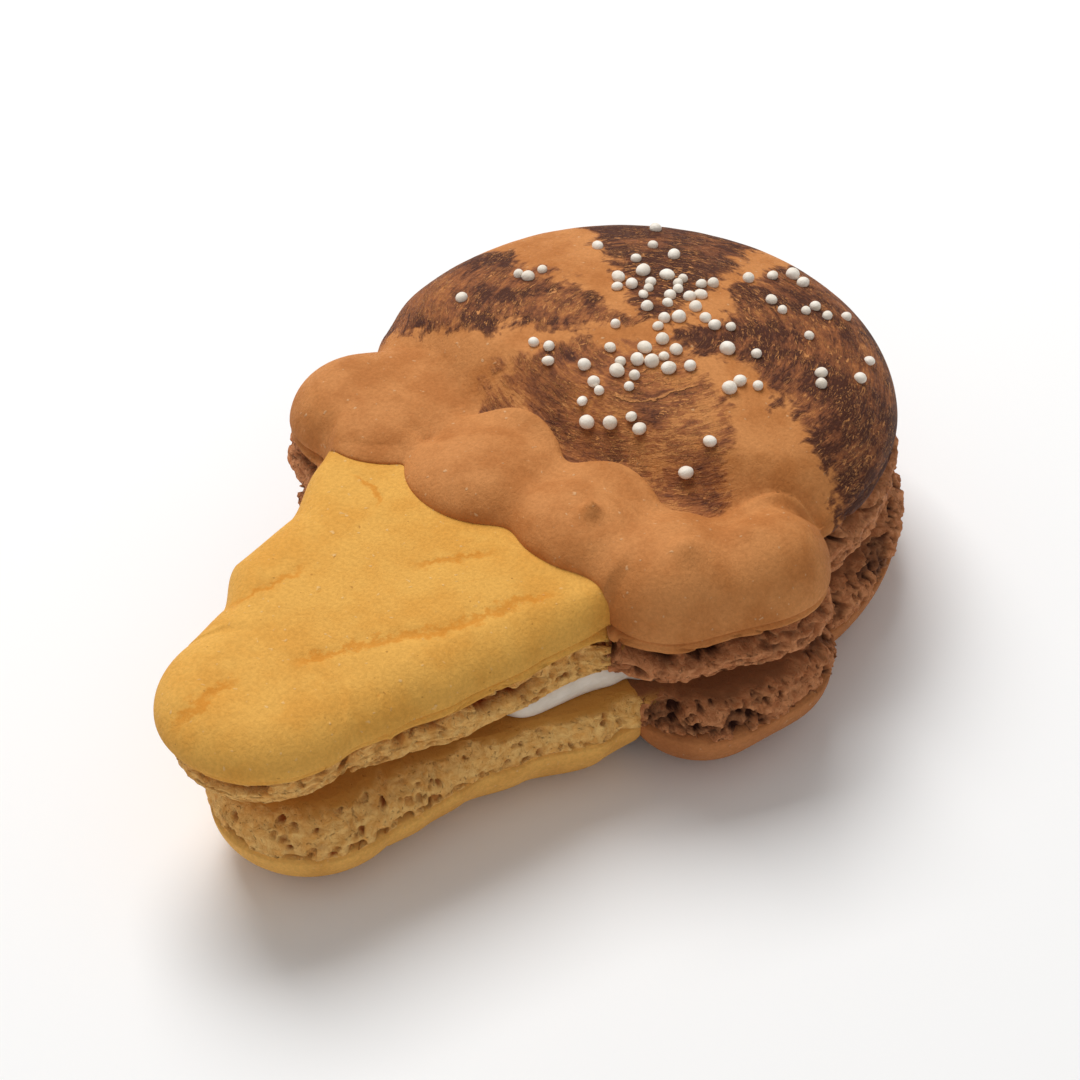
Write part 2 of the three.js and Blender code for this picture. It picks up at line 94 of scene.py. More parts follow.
# Peaks that the nozzle left: place, radius and height.
PEAKS = [(10.5, -6.0, 0.8, 1.3), (19.6, -4.8, 1.3, 0.9), (22.0, 0.8, 1.6, 0.5)]

CONE_EDGE = 3.3
CONE_CROWN = 0.7
CONE_ROLL = 4.2
CORNER_ROLL = 2.0           # narrower in the corners next to the lobes


def ease(x, low, high):
    """0 below low, 1 above high, and an S-shaped step of the third degree between."""
    t = np.clip((x - low) / (high - low), 0, 1)
    return t * t * (3 - 2 * t)


def blend_max(a, b, k):
    """Larger of two values, rounded over where they are within k of each other."""
    h = np.clip(0.5 + 0.5 * (a - b) / k, 0, 1)
    return b + (a - b) * h + k * h * (1 - h)


def roll(share):
    """Quarter circle: 0 at the edge, 1 where the roll meets the top."""
    return np.sqrt(1 - (1 - np.clip(share, 0, 1)) ** 2)


def inside_ellipse(x, y, cx, cy, rx, ry):
    """Distance inside an ellipse along the ray from its centre: the ray's length times one
    over its share of the ellipse, less the ray's length."""
    ray = np.hypot(x - cx, y - cy) + 1e-9
    return ray / (np.hypot((x - cx) / rx, (y - cy) / ry) + 1e-9) - ray


def inside_scoop(x, y, plan, front=None):
    """Distance inside the scoop's oval, which reaches further to its back than its front."""
    scoop = plan["scoop"]
    reach = np.where(y > scoop["y"], scoop["back"], front or scoop["front"])
    return inside_ellipse(x, y, scoop["x"], scoop["y"], scoop["side"], reach)


def inside_lobes(x, y, plan, creases):
    """Distance inside the row of lobes, with the notches between them eased."""
    total = inside_ellipse(x, y, *plan["lobes"][0])
    for lobe, crease in zip(plan["lobes"][1:], creases):
        total = blend_max(total, inside_ellipse(x, y, *lobe), crease)
    return total


def inside_brown(x, y, plan):
    """Distance inside the scoop with its lobes."""
    return blend_max(inside_scoop(x, y, plan), inside_lobes(x, y, plan, plan["creases"]), 1.5)


def inside_brown_eased(x, y, plan):
    """The same, with the creases between the lobes eased out away from the edge."""
    edge = inside_brown(x, y, plan)
    lobes = inside_lobes(x, y, plan, np.maximum(plan["creases"], 4.5))
    eased = blend_max(inside_scoop(x, y, plan), lobes, 4)
    return edge + (eased - edge) * ease(edge, 0, 2.5)


def cone_sides(y, plan):
    """Half widths of the cone at y: between stations, half a straight line and half an S."""
    stations = np.array(plan["sides"])
    i = np.clip(np.searchsorted(stations[:, 0], y, side="right"), 1, len(stations) - 1)
    low, high = stations[i - 1], stations[i]
    t = np.clip((y - low[..., 0]) / (high[..., 0] - low[..., 0]), 0, 1)
    t = 0.5 * t + 0.5 * t * t * (3 - 2 * t)
    return [low[..., k] + (high[..., k] - low[..., k]) * t for k in (1, 2)]


def inside_cone(x, y, plan):
    """Distance inside the cone: to its sides and its top, and to the circle round its tip."""
    tip_x, tip_y, tip_r = plan["tip"]
    left, right = cone_sides(y, plan)
    middle = tip_x * np.clip((y + 10) / (tip_y + 10), 0, 1)
    side = 0.96 * np.where(x > middle, right - (x - middle), left + (x - middle))
    body = np.minimum(-blend_max(-side, y - CONE_TOP_Y, 2.5), y - tip_y)
    return np.maximum(body, tip_r - np.hypot(x - tip_x, y - tip_y))


def lip_height(x, y):
    """Edge of the upper skin: a slight wave, plus a bell round the scoop's right side."""
    dx = x - UPPER["scoop"]["x"]
    dy = y - UPPER["scoop"]["y"]
    turn = np.arctan2(dy, dx)
    right = np.exp(-(((turn - 0.05) / 0.55) ** 2))
    side = UPPER["scoop"]["side"]
    far = ease(np.hypot(dx, dy), side - 1.3, side) * ease(y, 5.5, 8)
    return SKIN_LIP + TALL_FOOT * right * far + 0.15 * np.sin(3 * turn + 1)


def cone_height(x, y):
    """Top of the cone's skin: a rolled edge and a slight crown."""
    inside = inside_cone(x, y, UPPER)
    rise = CONE_EDGE - SKIN_LIP + CONE_CROWN * roll(inside / 13)
    width = CONE_ROLL + (CORNER_ROLL - CONE_ROLL) * ease(y, -19, -10)
    return SKIN_LIP + roll(inside / width) * rise


def inside_pads(x, y):
    """Distance inside the tops of the lobes, with soft valleys between them."""
    total = None
    for cx, cy, rx, ry in PADS:
        own = 6 * (1 - np.hypot((x - cx) / rx, (y - cy) / ry))
        total = own if total is None else blend_max(total, own, PAD_BLEND)
    return total


def pad_height(x, y):
    """Crisp, crowned tops of the lobes: a short roll and a long one."""
    inside = inside_pads(x, y)
    crown = LOBE_CROWN * (1 - (1 - LEFT_CROWN) * ease(-x, 4, 14))
    return LOBE_STEP * roll(inside / 0.8) * ease(x, -9, -2) + crown * roll(inside / 6)


def scoop_height(x, y):
    """Top of the scoop's skin: the dome, the shelf of lobes at its front, and their tops."""
    inside = inside_brown_eased(x, y, UPPER)
    over_cone = np.clip(inside_cone(x, y, UPPER), 0, 1)
    lip = lip_height(x, y)
    edge = lip + over_cone * np.maximum(cone_height(x, y) - 0.2 - lip, 0)
    width = DOME_ROLL + (DOME_FRONT_ROLL - DOME_ROLL) * ease(-y, -11, 1)
    reach = np.where(y > CROWN["y"], CROWN["back"], CROWN["front"])
    out = ((x - CROWN["x"]) / CROWN["side"]) ** 2 + ((y - CROWN["y"]) / reach) ** 2
    crown = DOME_EDGE + DOME_CROWN * np.maximum(1 - out, -0.2)
    dome_inside = inside_scoop(x, y, UPPER, UPPER["dome_front"])
    dome = edge + roll(dome_inside / width) * (crown - edge)
    shelf = edge + roll(inside / SHELF_ROLL) * (SHELF_HEIGHT - edge) * ease(-y, -13, -5)
    return blend_max(dome, shelf, 1.2) + pad_height(x, y) * roll(inside / 3)


def scramble(lattice, seed):
    """Repeatable value in 0 to 1 for each lattice point: whole-number products, folded."""
    x, y, z = np.moveaxis(lattice, -1, 0)
    n = (x * 374761393 + y * 668265263 + z * 1440662683 + seed * 1274126177) & 0xFFFFFFFF
    n = ((n ^ (n >> 13)) * 1274126177) & 0xFFFFFFFF
    n = ((n ^ (n >> 15)) * 668265263) & 0xFFFFFFFF
    return ((n ^ (n >> 16)) & 0xFFFFFF) / 0xFFFFFF


def noise(points, size, seed):
    """Value noise in -1 to 1: lattice values, size mm apart, eased between along each axis."""
    p = points / size
    cell = np.floor(p).astype(np.int64)
    f = p - cell
    f = f * f * (3 - 2 * f)
    total = 0
    for corner in np.ndindex(2, 2, 2):
        weight = np.prod(np.where(np.array(corner) == 1, f, 1 - f), axis=-1)
        total = total + weight * scramble(cell + np.array(corner), seed)
    return 2 * total - 1


def pores(points, size, seed, fill):
    """Holes of a sponge, 0 on a wall to 1 in the middle of a hole: a share fill of the
    lattice cells holds one hole, at a scrambled place and of a scrambled radius."""
    p = points / size
    cell = np.floor(p).astype(np.int64)
    deepest = np.zeros(p.shape[:-1])
    for step in np.ndindex(3, 3, 3):
        home = cell + np.array(step) - 1
        middle = home + np.stack([scramble(home, seed + k) for k in range(3)], -1)
        radius = 0.22 + 0.4 * scramble(home, seed + 3)
        depth = 1 - np.linalg.norm(p - middle, axis=-1) / radius
        deepest = np.maximum(deepest, np.where(scramble(home, seed + 4) < fill, depth, 0))
    return deepest


def bend(points, size, reach, seed):
    """Points pushed about by noise, up to reach mm along each axis."""
    return points + reach * np.stack([noise(points, size, seed + k) for k in range(3)], -1)


def crags(points, size, seed):
    """Torn sponge, 0 on its thin walls to about 1 in its pits: bent noise of two sizes, each
    counted from where it changes sign."""
    bent = bend(points, size, 0.5 * np.min(size), seed)
    coarse = np.abs(noise(bent, size, seed + 3))
    return 0.65 * coarse + 0.35 * np.abs(noise(bent, np.multiply(size, 0.42), seed + 4))


def outline(inside, centre, columns):
    """Points of a plan's edge, evenly spaced along it, and for each the step on its ray from
    the centre that moves the edge out by one. The edge is found on the rays by stepping out
    and then halving the step."""
    coarse = 0.25
    turn = np.linspace(0, 2 * np.pi, 4001)
    ray = np.stack([np.cos(turn), np.sin(turn)], -1)
    steps = np.arange(1, 60, coarse)
    x = centre[0] + steps * ray[:, :1]
    y = centre[1] + steps * ray[:, 1:]
    low = steps[np.argmax(inside(x, y) < 0, axis=1)] - coarse
    high = low + coarse
    for _ in range(16):
        middle = (low + high) / 2
        within = inside(centre[0] + middle * ray[:, 0], centre[1] + middle * ray[:, 1]) > 0
        low = np.where(within, middle, low)
        high = np.where(within, high, middle)
    edge = np.array(centre) + low[:, None] * ray
    length = np.append(0, np.cumsum(np.linalg.norm(np.diff(edge, axis=0), axis=1)))

    def at(distance):
        distance = distance % length[-1]
        return np.stack([np.interp(distance, length, edge[:, k]) for k in range(2)], -1)

    place = np.arange(columns) * length[-1] / columns
    along = at(place + 0.5) - at(place - 0.5)
    normal = np.stack([along[:, 1], -along[:, 0]], -1)
    ray = at(place) - np.array(centre)
    ray /= np.linalg.norm(ray, axis=1, keepdims=True)
    steepness = np.sum(ray * normal, axis=1) / np.linalg.norm(normal, axis=1)
    return at(place), ray / np.maximum(steepness, 0.6)[:, None]


def skin_shares(inner, outer, width):
    """Shares of the way from a skin's centre to its edge: inner even steps, and outer steps
    that shrink by a square law over the last width of the way, where the skin rolls down."""
    even = np.linspace(0, 1 - width, inner + 1)[1:]
    roll_steps = np.arange(1, outer + 1) / outer
    return np.append(even, 1 - width * (1 - roll_steps) ** 2)


def skin_rings(edge, centre, shares, height):
    """Rings of a skin from its centre to its edge, with half, a quarter and an eighth of the
    columns further in, where they draw together."""
    rings = []
    for share in shares:
        stride = 1 if share > 0.75 else 2 if share > 0.42 else 4 if share > 0.2 else 8
        x, y = (np.array(centre) + share * (edge[::stride] - np.array(centre))).T
        rings.append(np.stack([x, y, height(x, y)], -1))
    return rings


def face_rings(last, centre):
    """Rings of a flat face from its rim to its middle, thinning the columns on the way."""
    return [
        np.array(centre) + share * (last[::stride] - np.array(centre))
        for share, stride in ((0.985, 1), (0.96, 1), (0.9, 2), (0.75, 4), (0.5, 8), (0.25, 8))
    ]


def ring_faces(counts):
    """Faces through rings of these numbers of points, from the top down, closed by a point
    before the first and after the last. Rings of the same count are joined by quads, and of
    twice or half the count by threes of triangles."""
    starts = np.cumsum([1, *counts])
    faces = []
    for top, bottom, count, below in zip(starts, starts[1:], counts, counts[1:]):
        i = np.arange(min(count, below))
        j = (i + 1) % len(i)
        a, b, c = 2 * i, 2 * i + 1, (2 * i + 2) % (2 * len(i))
        if count == below:
            together = [(top + i, bottom + i, bottom + j, top + j)]
        elif count < below:
            a, b, c = bottom + a, bottom + b, bottom + c
            together = [(top + i, a, b), (top + i, b, top + j), (top + j, b, c)]
        else:
            a, b, c = top + a, top + b, top + c
            together = [(a, bottom + i, b), (b, bottom + i, bottom + j), (b, bottom + j, c)]
        for corners in together:
            faces += np.stack(corners, -1).tolist()
    for start, count, pole in ((1, counts[0], 0), (starts[-2], counts[-1], starts[-1])):
        i = start + np.arange(count)
        j = start + (np.arange(count) + 1) % count
        pair = (i, j) if pole == 0 else (j, i)
        faces += np.stack([np.full(count, pole), *pair], -1).tolist()
    return faces


def smooth_piece(name, points, faces):
    """A piece with smooth faces, from points on the drawing's axes."""
    mesh = bpy.data.meshes.new(name)
    mesh.from_pydata(((points + DRAWING_ZERO) / 1000).tolist(), [], faces)
    mesh.polygons.foreach_set("use_smooth", np.ones(len(mesh.polygons), bool))
    piece = bpy.data.objects.new(name, mesh)
    bpy.context.scene.collection.objects.link(piece)
    return piece


def closed_rings(name, rings, ends, attributes):
    """Piece through rings listed from the top to the bottom, closed by a point at each end.
    attributes maps a name to one array of values for each ring."""
    points = np.concatenate([[ends[0]], *rings, [ends[1]]])
    piece = smooth_piece(name, points, ring_faces([len(ring) for ring in rings]))
    for key, values in attributes.items():
        values = np.concatenate([values[0][:1], *values, values[-1][:1]])
        kind, field = ("FLOAT_VECTOR", "vector") if values.ndim == 2 else ("FLOAT", "value")
        layer = piece.data.attributes.new(key, kind, "POINT")
        layer.data.foreach_set(field, values.astype(np.float32).ravel())
    return piece


def inside_joined(x, y, plan):
    """Distance inside cone and scoop together, with the corners between them rounded."""
    return blend_max(inside_cone(x, y, plan), inside_brown(x, y, plan), 4)


def beside_cone(x, y, plan):
    """Distance on the scoop's side of the line where the two batters of a foot meet: the
    scoop's edge over the cone, and half way between both edges in the corners."""
    return inside_brown(x, y, plan) - np.minimum(inside_cone(x, y, plan), 0)


def to_contour(edge, outward, out, plan, side):
    """How far to go along the rays, from points of a piece's edge, to the line that runs out
    mm outside the rounded outline of cone and scoop together, but only just over the line
    where the other batter begins: side is 1 for the scoop and -1 for the cone. It is found
    in damped steps, and is at most 5 mm in and 3 mm out."""
    step = np.zeros(out.shape)
    for _ in range(14):
        x, y = np.moveaxis(edge + outward * step[..., None], -1, 0)
        left = np.minimum(inside_joined(x, y, plan) + out, side * beside_cone(x, y, plan) + MEETING)
        step = np.clip(step + 0.7 * left, -5, 3)
    return step


def foot_rings(edge, outward, plan, side, shares, top, bottom, relief):
    """Rings of a foot at shares of the way down from top to bottom, of which one is the
    skin's edge. relief gives, for each share and point of the plain wall, how far the wall
    stands out, how much of the hollow colour it takes, which is partly a browner inside and
    partly painted shade, and 0 for skin, 1 for open sponge or 2 for flat face. Away from the
    skin, the foot follows the rounded outline of both batters, and one that runs in under the
    other stays on its edge."""
    down = np.broadcast_to(shares[:, None], (len(shares), len(edge)))
    z = top + (bottom - top) * down
    wall = np.concatenate([np.broadcast_to(edge, (*z.shape, 2)), z[..., None]], -1)
    out, hollow, foot = relief(down, wall, outward)
    free = 1 - ease(inside_joined(*edge.T, plan), 0.8, 2.6)
    from_skin = np.abs(z - (top if np.ndim(top) else bottom)) / np.abs(top - bottom)
    joined = to_contour(edge, outward, out, plan, side)
    step = free * (out + (joined - out) * ease(from_skin, 0.04, 0.3))
    wall[..., :2] += outward * step[..., None]
    return list(wall), dict(hollow=list(hollow * free), foot=list(foot))


# Plain wall of the upper foot: shares of the way down, and how far it stands out at each. The
# depths of what is torn out of it come after.
UPPER_WALL = (
    [0.0, 0.02, 0.05, 0.08, 0.18, 0.27, 0.33, 0.46, 0.56, 0.75, 0.93, 1.0],
    [0.0, -0.12, -0.5, -0.3, -0.05, -0.2, -0.55, -0.45, -0.05, 0.12, 0.1, -0.3],
)
HOLLOW_DEPTH = 2.0
TORN_DEPTH = 0.6
PIT_DEPTH = 0.35
LAYER_DEPTH = 0.45
ROPE_OUT = 0.3              # the torn rope stands out by this much


def upper_foot(share, wall, outward, closed=0.0):
    """How far the upper foot stands out. Under the skin comes a crease and a smooth second
    lip, then a wavy line of deep hollows, and a ragged rope of torn sponge down to the face,
    in thin layers. The larger closed is, the fewer and shallower they are."""
    wave = 0.05 * noise(wall, (4.0, 4.0, 30.0), 11) + 0.04 * noise(wall, (1.6, 1.6, 30.0), 12)
    at = share + wave * ease(share, 0.08, 0.3)
    band = ease(at, 0.26, 0.32) * ease(-at, -0.68, -0.46)
    gaps = noise(wall, (2.4, 2.4, 0.9), 13) + 0.5 * noise(wall, 0.8, 14)
    gaps = np.maximum(ease(gaps, closed - 0.1, closed + 0.2), 0.45 - 2.8 * closed)
    rope = ease(at, 0.29, 0.42)
    torn = crags(wall, (2.0, 2.0, 0.8), 15)
    pits = pores(bend(wall, 0.7, 0.3, 22), (1.5, 1.5, 0.7), 25, 0.4 - closed)
    pits = ease(pits, 0.03, 0.3) * rope
    layers = 1 - ease(np.abs(noise(bend(wall, 1.5, 0.4, 26), (5.0, 5.0, 0.7), 27)), 0.0, 0.14)
    layers = layers * ease(at, 0.12, 0.2) * ease(-at, -0.98, -0.9)
    lumps = 0.12 * noise(wall, (1.3, 1.3, 0.7), 23) + 0.06 * noise(wall, 0.45, 20)
    # hollow: where the sponge takes its hollow colour, a browner inside with painted shade in its gaps,
    # pits, torn crags and the lines between its layers.
    hollow = np.clip(band * gaps + 0.8 * pits + 1.3 * (torn - 0.45) * rope + 0.5 * layers, 0, 1)
    out = np.interp(at, *UPPER_WALL) + (ROPE_OUT + lumps) * rope
    out = out - (HOLLOW_DEPTH - 3 * closed) * band * gaps - (LAYER_DEPTH - closed) * layers
    out = out - TORN_DEPTH * torn * rope - PIT_DEPTH * pits
    return out + 0.05 * noise(wall, (2.5, 2.5, 0.8), 21), hollow, ease(at, 0.24, 0.3)


def skin_swell(x, y):
    """Slow swells of a baked skin, a tenth of a millimetre high."""
    points = np.stack([x, y, np.zeros_like(x)], -1)
    return 0.08 * noise(points, 6.5, 31) + 0.035 * noise(points, 2.2, 32)


def scoop_skin(x, y):
    """The scoop's height with the nozzle's peaks, each a bell, and the slow swells."""
    z = scoop_height(x, y)
    for px, py, radius, height in PEAKS:
        z = z + height * np.exp(-((x - px) ** 2 + (y - py) ** 2) / radius ** 2)
    return z + skin_swell(x, y) * ease(inside_brown(x, y, UPPER), 0, 2)


# Where the chocolate was brushed on, by a brush turned about a point. Each sweep is how heavily
# the brush was loaded, then radii with the turns in degrees where it begins and ends at each.
BRUSH_CENTRE = (1.6, 14.8)
BARE_HUB = 2.0              # radius of the middle that no sweep reached
SWEEPS = [
    (0.06, [
        (4.5, 9, 50), (6.7, 0, 56), (8.7, 14, 70), (11.3, 4, 86), (19.7, -4, 86), (27, -16, 86),
    ]),
    (0.10, [(3.6, 88, 150), (7.4, 92, 148), (12.2, 96, 148), (16, 98, 143), (21, 100, 146)]),
    (0.03, [(5.7, 173, 209), (13.8, 172, 208), (15.9, 172, 211), (22.8, 171, 204), (29, 171, 197)]),
    (-0.07, [
        (3, -131, -19), (8.6, -131, -15), (14, -130, -26), (17.6, -125, -33), (20, -60, -36),
        (22, -45, -51),
    ]),
]


def brushed(ring):
    """How far inside a sweep of the brush a ring's points are, in mm along the sweep's arc:
    the turn to the nearer end of the sweep, times the radius. With it come the load and the
    distance inside the tops of the lobes, which stayed bare."""
    x, y = ring[:, :2].T
    dx, dy = x - BRUSH_CENTRE[0], y - BRUSH_CENTRE[1]
    radius = np.hypot(dx, dy)
    turn = np.degrees(np.arctan2(dy, dx))
    reach = np.full(x.shape, -20.0)
    load = np.zeros(x.shape)
    for heavy, sweep in SWEEPS:
        radii, starts, ends = np.array(sweep, float).T
        start = np.interp(radius, radii, starts)
        end = np.interp(radius, radii, ends)
        away = np.abs((turn - (start + end) / 2 + 180) % 360 - 180)
        own = np.radians((end - start) / 2 - away) * radius
        load = np.where(own > reach, heavy, load)
        reach = np.maximum(reach, own)
    return np.stack([np.minimum(reach, 3 * (radius - BARE_HUB)), load, inside_pads(x, y)], -1)


# Cracks in the dome's skin around the turn of the brush: points along each, and its width.
CRACKS = [
    ([(3.6, 5.6), (5.1, 5.8), (6.3, 6.3), (7.2, 7.4), (7.6, 8.8), (8.6, 10.7), (9.0, 11.6)], 0.16),
    ([(4.0, 8.8), (4.1, 9.3), (4.4, 10.6)], 0.14),
]


def line_axes(x, y, points):
    """Place along a chain of straight stretches, signed distance across it, and its length.
    Beyond its ends the chain runs straight on."""
    least = np.full(np.shape(x), 1e9)
    along, across, start = 0 * least, 0 * least, 0.0
    for k, (a, b) in enumerate(zip(points, points[1:])):
        length = math.dist(a, b)
        ux, uy = (b[0] - a[0]) / length, (b[1] - a[1]) / length
        t = (x - a[0]) * ux + (y - a[1]) * uy
        side = (x - a[0]) * uy - (y - a[1]) * ux
        s = np.clip(t, -99 if k == 0 else 0, 99 if k == len(points) - 2 else length)
        away = np.hypot(t - s, side)
        along = np.where(away < least, start + s, along)
        across = np.where(away < least, np.copysign(away, side), across)
        least = np.minimum(least, away)
        start += length
    return along, across, start


def marks(ring, lines):
    """For a ring's points, of the nearest of the lines: distance across it in widths, how far
    within its ends in mm, and a spare zero."""
    across = np.full(len(ring), 99.0)
    within = np.full(len(ring), -9.0)
    for points, width, *_ in lines:
        along, aside, length = line_axes(*ring[:, :2].T, points)
        ends = np.minimum(along, length - along)
        own = (np.abs(aside / width) < np.abs(across)) & (ends > -2)
        across = np.where(own, aside / width, across)
        within = np.where(own, ends, within)
    return np.stack([across, within, np.zeros_like(across)], -1)


SCOOP_CENTRE = (0.0, 9.0)
SCOOP_COLUMNS = 960
MEETING = 0.3               # each batter of a foot reaches this far in over the other
FOOT_SHARES = np.linspace(0, 1, 47)[1:]     # the foot's rings, as shares of the way down


def joined_parts(skin, foot, face, values, other, plan):
    """All rings from the skin to the face, and values for their points: foot is 0 on skin, 1
    on open sponge and 2 on a face, which takes the foot's last values; hollow is 1 in a
    hollow, where the sponge takes its hollow colour, partly a browner inside and partly painted
    shade; and beside is how far a point is outside the other batter, in mm."""
    last = values["foot"][-1]
    rings = skin + foot + face
    return rings, dict(
        foot=[np.zeros(len(r)) for r in skin] + values["foot"] + [last[::len(last) // len(r)] for r in face],
        hollow=[np.zeros(len(r)) for r in skin] + values["hollow"] + [np.zeros(len(r)) for r in face],
        beside=[-other(r[:, 0], r[:, 1], plan) for r in rings],
    )


def stroke_axes(ring):
    """Axes along which the brush drew: across the arc, which goes on down the dome's side,
    and the two plan axes, along which marks are long."""
    dx, dy = ring[:, 0] - BRUSH_CENTRE[0], ring[:, 1] - BRUSH_CENTRE[1]
    return np.stack([np.hypot(dx, dy) - ring[:, 2], dx, dy], -1)


def upper_shell(name, side, inside, other, centre, columns, skin, skin_steps, face_z, relief, **rules):
    """Skin, foot and flat face of an upper shell, from the top down. Each of the rules gives
    values for a ring's points that its material reads."""
    edge, outward = outline(lambda x, y: inside(x, y, UPPER), centre, columns)
    top = skin_rings(edge, centre, skin_steps, skin)
    foot, values = foot_rings(
        edge, outward, UPPER, side, FOOT_SHARES, top[-1][:, 2], face_z, relief,
    )
    face = face_rings(foot[-1], (*centre, face_z))
    rings, values = joined_parts(top, foot, face, values, other, UPPER)
    for key, rule in rules.items():
        values[key] = [rule(ring) for ring in rings]
    return closed_rings(
        name, rings, [(*centre, float(skin(*np.array(centre)))), (*centre, face_z)], values,
    )


upper_scoop = upper_shell(
    "upper_scoop_shell", 1, inside_brown, inside_cone, SCOOP_CENTRE, SCOOP_COLUMNS, scoop_skin,
    skin_shares(inner=62, outer=22, width=0.22), UPPER_FACE_Z, upper_foot,
    brushed=brushed, cracks=lambda ring: marks(ring, CRACKS), stroke=stroke_axes,
)


def tint(red, green, blue):
    """A colour given as it is seen, 0 to 255, as the linear colour that a shader takes."""
    seen = np.array([red, green, blue]) / 255
    linear = np.where(seen > 0.04045, ((seen + 0.055) / 1.055) ** 2.4, seen / 12.92)
    return (*linear.tolist(), 1.0)


class Value:
    """What a shader node gives. Sums and products of Values make the nodes for them."""

    def __init__(self, socket):
        self.socket = socket

    def __add__(self, other):
        return maths("ADD", self, other)

    def __sub__(self, other):
        return maths("SUBTRACT", self, other)

    def __mul__(self, other):
        return maths("MULTIPLY", self, other)

    def __abs__(self):
        return maths("ABSOLUTE", self)


def plug(node, sockets):
    """The node, with its inputs set, by name or place, to constants or Values."""
    for key, value in sockets.items():
        if isinstance(value, Value):
            node.id_data.links.new(value.socket, node.inputs[key])
        else:
            node.inputs[key].default_value = value
    return node


def add(tree, kind, **settings):
    """A new shader node."""
    made = tree.nodes.new("ShaderNode" + kind)
    for key, value in settings.items():
        setattr(made, key, value)
    return made


def after(value, kind, sockets, **settings):
    """What a new node gives, in the tree of a Value that it takes."""
    return Value(plug(add(value.socket.id_data, kind, **settings), sockets).outputs[0])


def maths(operation, a, b=0.0, **settings):
    """One sum of two values."""
    return after(a, "Math", {0: a, 1: b}, operation=operation, **settings)


def blend(factor, a, b):
    """Colour a turning to colour b as factor goes from 0 to 1."""
    return after(factor, "MixRGB", {0: factor, 1: a, 2: b})


def span(value, low, high, to_low=0.0, to_high=1.0):
    """value eased from low..high to to_low..to_high."""
    sockets = {0: value, 1: low, 2: high, 3: to_low, 4: to_high}
    return after(value, "MapRange", sockets, interpolation_type="SMOOTHSTEP")


def cloud(place, scale, detail=2.0, rough=0.5, warp=0.0):
    """Noise in 0 to 1 with scale features a millimetre."""
    sockets = {"Scale": scale, "Detail": detail, "Roughness": rough, "Distortion": warp}
    return after(place, "TexNoise", dict(sockets, Vector=place))


def scaled(place, scale):
    """A place with each of its axes scaled."""
    return after(place, "Mapping", {"Vector": place, "Scale": scale})


def carried(tree, name, output="Fac"):
    """A value that the mesh carries."""
    return Value(add(tree, "Attribute", attribute_name=name).outputs[output])


def carried_parts(tree, name):
    """The three parts of a vector that the mesh carries."""
    split = plug(add(tree, "SeparateXYZ"), {0: carried(tree, name, "Vector")})
    return [Value(output) for output in split.outputs]


def begin(name):
    """A new material, its tree, and the place on the piece in mm."""
    material = bpy.data.materials.new(name)
    material.use_nodes = True
    tree = material.node_tree
    place = Value(add(tree, "TexCoord").outputs["Object"])
    return material, tree, scaled(place, (1000, 1000, 1000))


def coat(tree, height, relief, sockets):
    """Set the shader's inputs, with a bump for which a height of 1 is relief metres."""
    bump = plug(add(tree, "Bump"), {"Strength": 1.0, "Distance": relief, "Height": height})
    plug(tree.nodes["Principled BSDF"], dict(sockets, Normal=Value(bump.outputs[0])))


# What the grain darkens a skin to, and its blisters pale it to, as linear colours.
GRAIN_SHADE = (0.05, 0.02, 0.008, 1)
BLISTER_SHADE = (0.9, 0.72, 0.45, 1)


def crust(name, skin, mottle, sponge, crumb, hollow, face, other, dress):
    """Baked macaron batter. The skin is matt, finely grained and faintly mottled, with small
    pale blisters; the foot is open sponge, darker in its hollows, where the hollow colour is
    partly a browner inside and partly painted shade, and takes blotches of the other batter's
    colour where the two meet. The flat face is its own golden brown, darkened further as
    painted shade from the shell above it. dress lays something over the skin: it takes the
    tree and the place, and takes and gives back the colour, height in mm and roughness."""
    material, tree, mm = begin(name)
    grain = cloud(mm, 3.0, 4.0, 0.65)
    blister = span(cloud(mm, 1.7, 1.0), 0.7, 0.8)
    colour = blend(span(cloud(mm, 0.22, 3.0, 0.6), 0.35, 0.68), skin, mottle)
    colour = blend(span(grain, 0.3, 0.7, 0.0, 0.17), colour, GRAIN_SHADE)
    colour = blend(blister * 0.26, colour, BLISTER_SHADE)
    height = grain * 0.1 + blister * 0.04
    rough = span(grain, 0.2, 0.8, 0.66, 0.82)
    if dress:
        colour, height, rough = dress(tree, mm, colour, height, rough)
    crumbs = cloud(mm, 1.3, 6.0, 0.7, 0.6)
    pits = span(cloud(mm, 2.6, 3.0, 0.6, 0.8), 0.3, 0.4, 1.0, 0.0)
    beside = carried(tree, "beside") + span(cloud(mm, 0.8, 3.0), 0.2, 0.8, -1.6, 1.6)
    open_sponge = blend(span(crumbs, 0.35, 0.65), sponge, crumb)
    open_sponge = blend(span(beside, -0.1, 0.5, 1.0, 0.0), open_sponge, other)
    # Painted shade: the sponge darkens to the hollow colour in its hollows and in the small pits of the
    # shader, and the hollow colour is partly a browner inside.
    dark = maths("MAXIMUM", carried(tree, "hollow"), pits * 0.45)
    open_sponge = blend(dark, open_sponge, hollow)
    foot = carried(tree, "foot")
    # On the flat face the sponge turns to the face colour, with a smoother crumb: its own golden brown,
    # darkened as painted shade from the shell above.
    on_flat_face = maths("SUBTRACT", foot, 1.0, use_clamp=True)
    open_sponge = blend(on_flat_face, open_sponge, face)
    foot = maths("MINIMUM", foot, 1.0)
    foot_height = (crumbs * 0.45 - pits * 0.12) * span(on_flat_face, 0.0, 1.0, 1.0, 0.35)
    height = after(foot, "Mix", {"Factor": foot, "A": height, "B": foot_height})
    colour = blend(foot, colour, open_sponge)
    coat(tree, height, 0.001, {"Base Color": colour, "Roughness": rough, "Specular IOR Level": 0.12})
    return material


CHOCOLATE_THIN = tint(158, 96, 55)
CHOCOLATE = tint(120, 70, 43)
CHOCOLATE_THICK = tint(76, 41, 28)
BARE_LINE = tint(204, 138, 82)


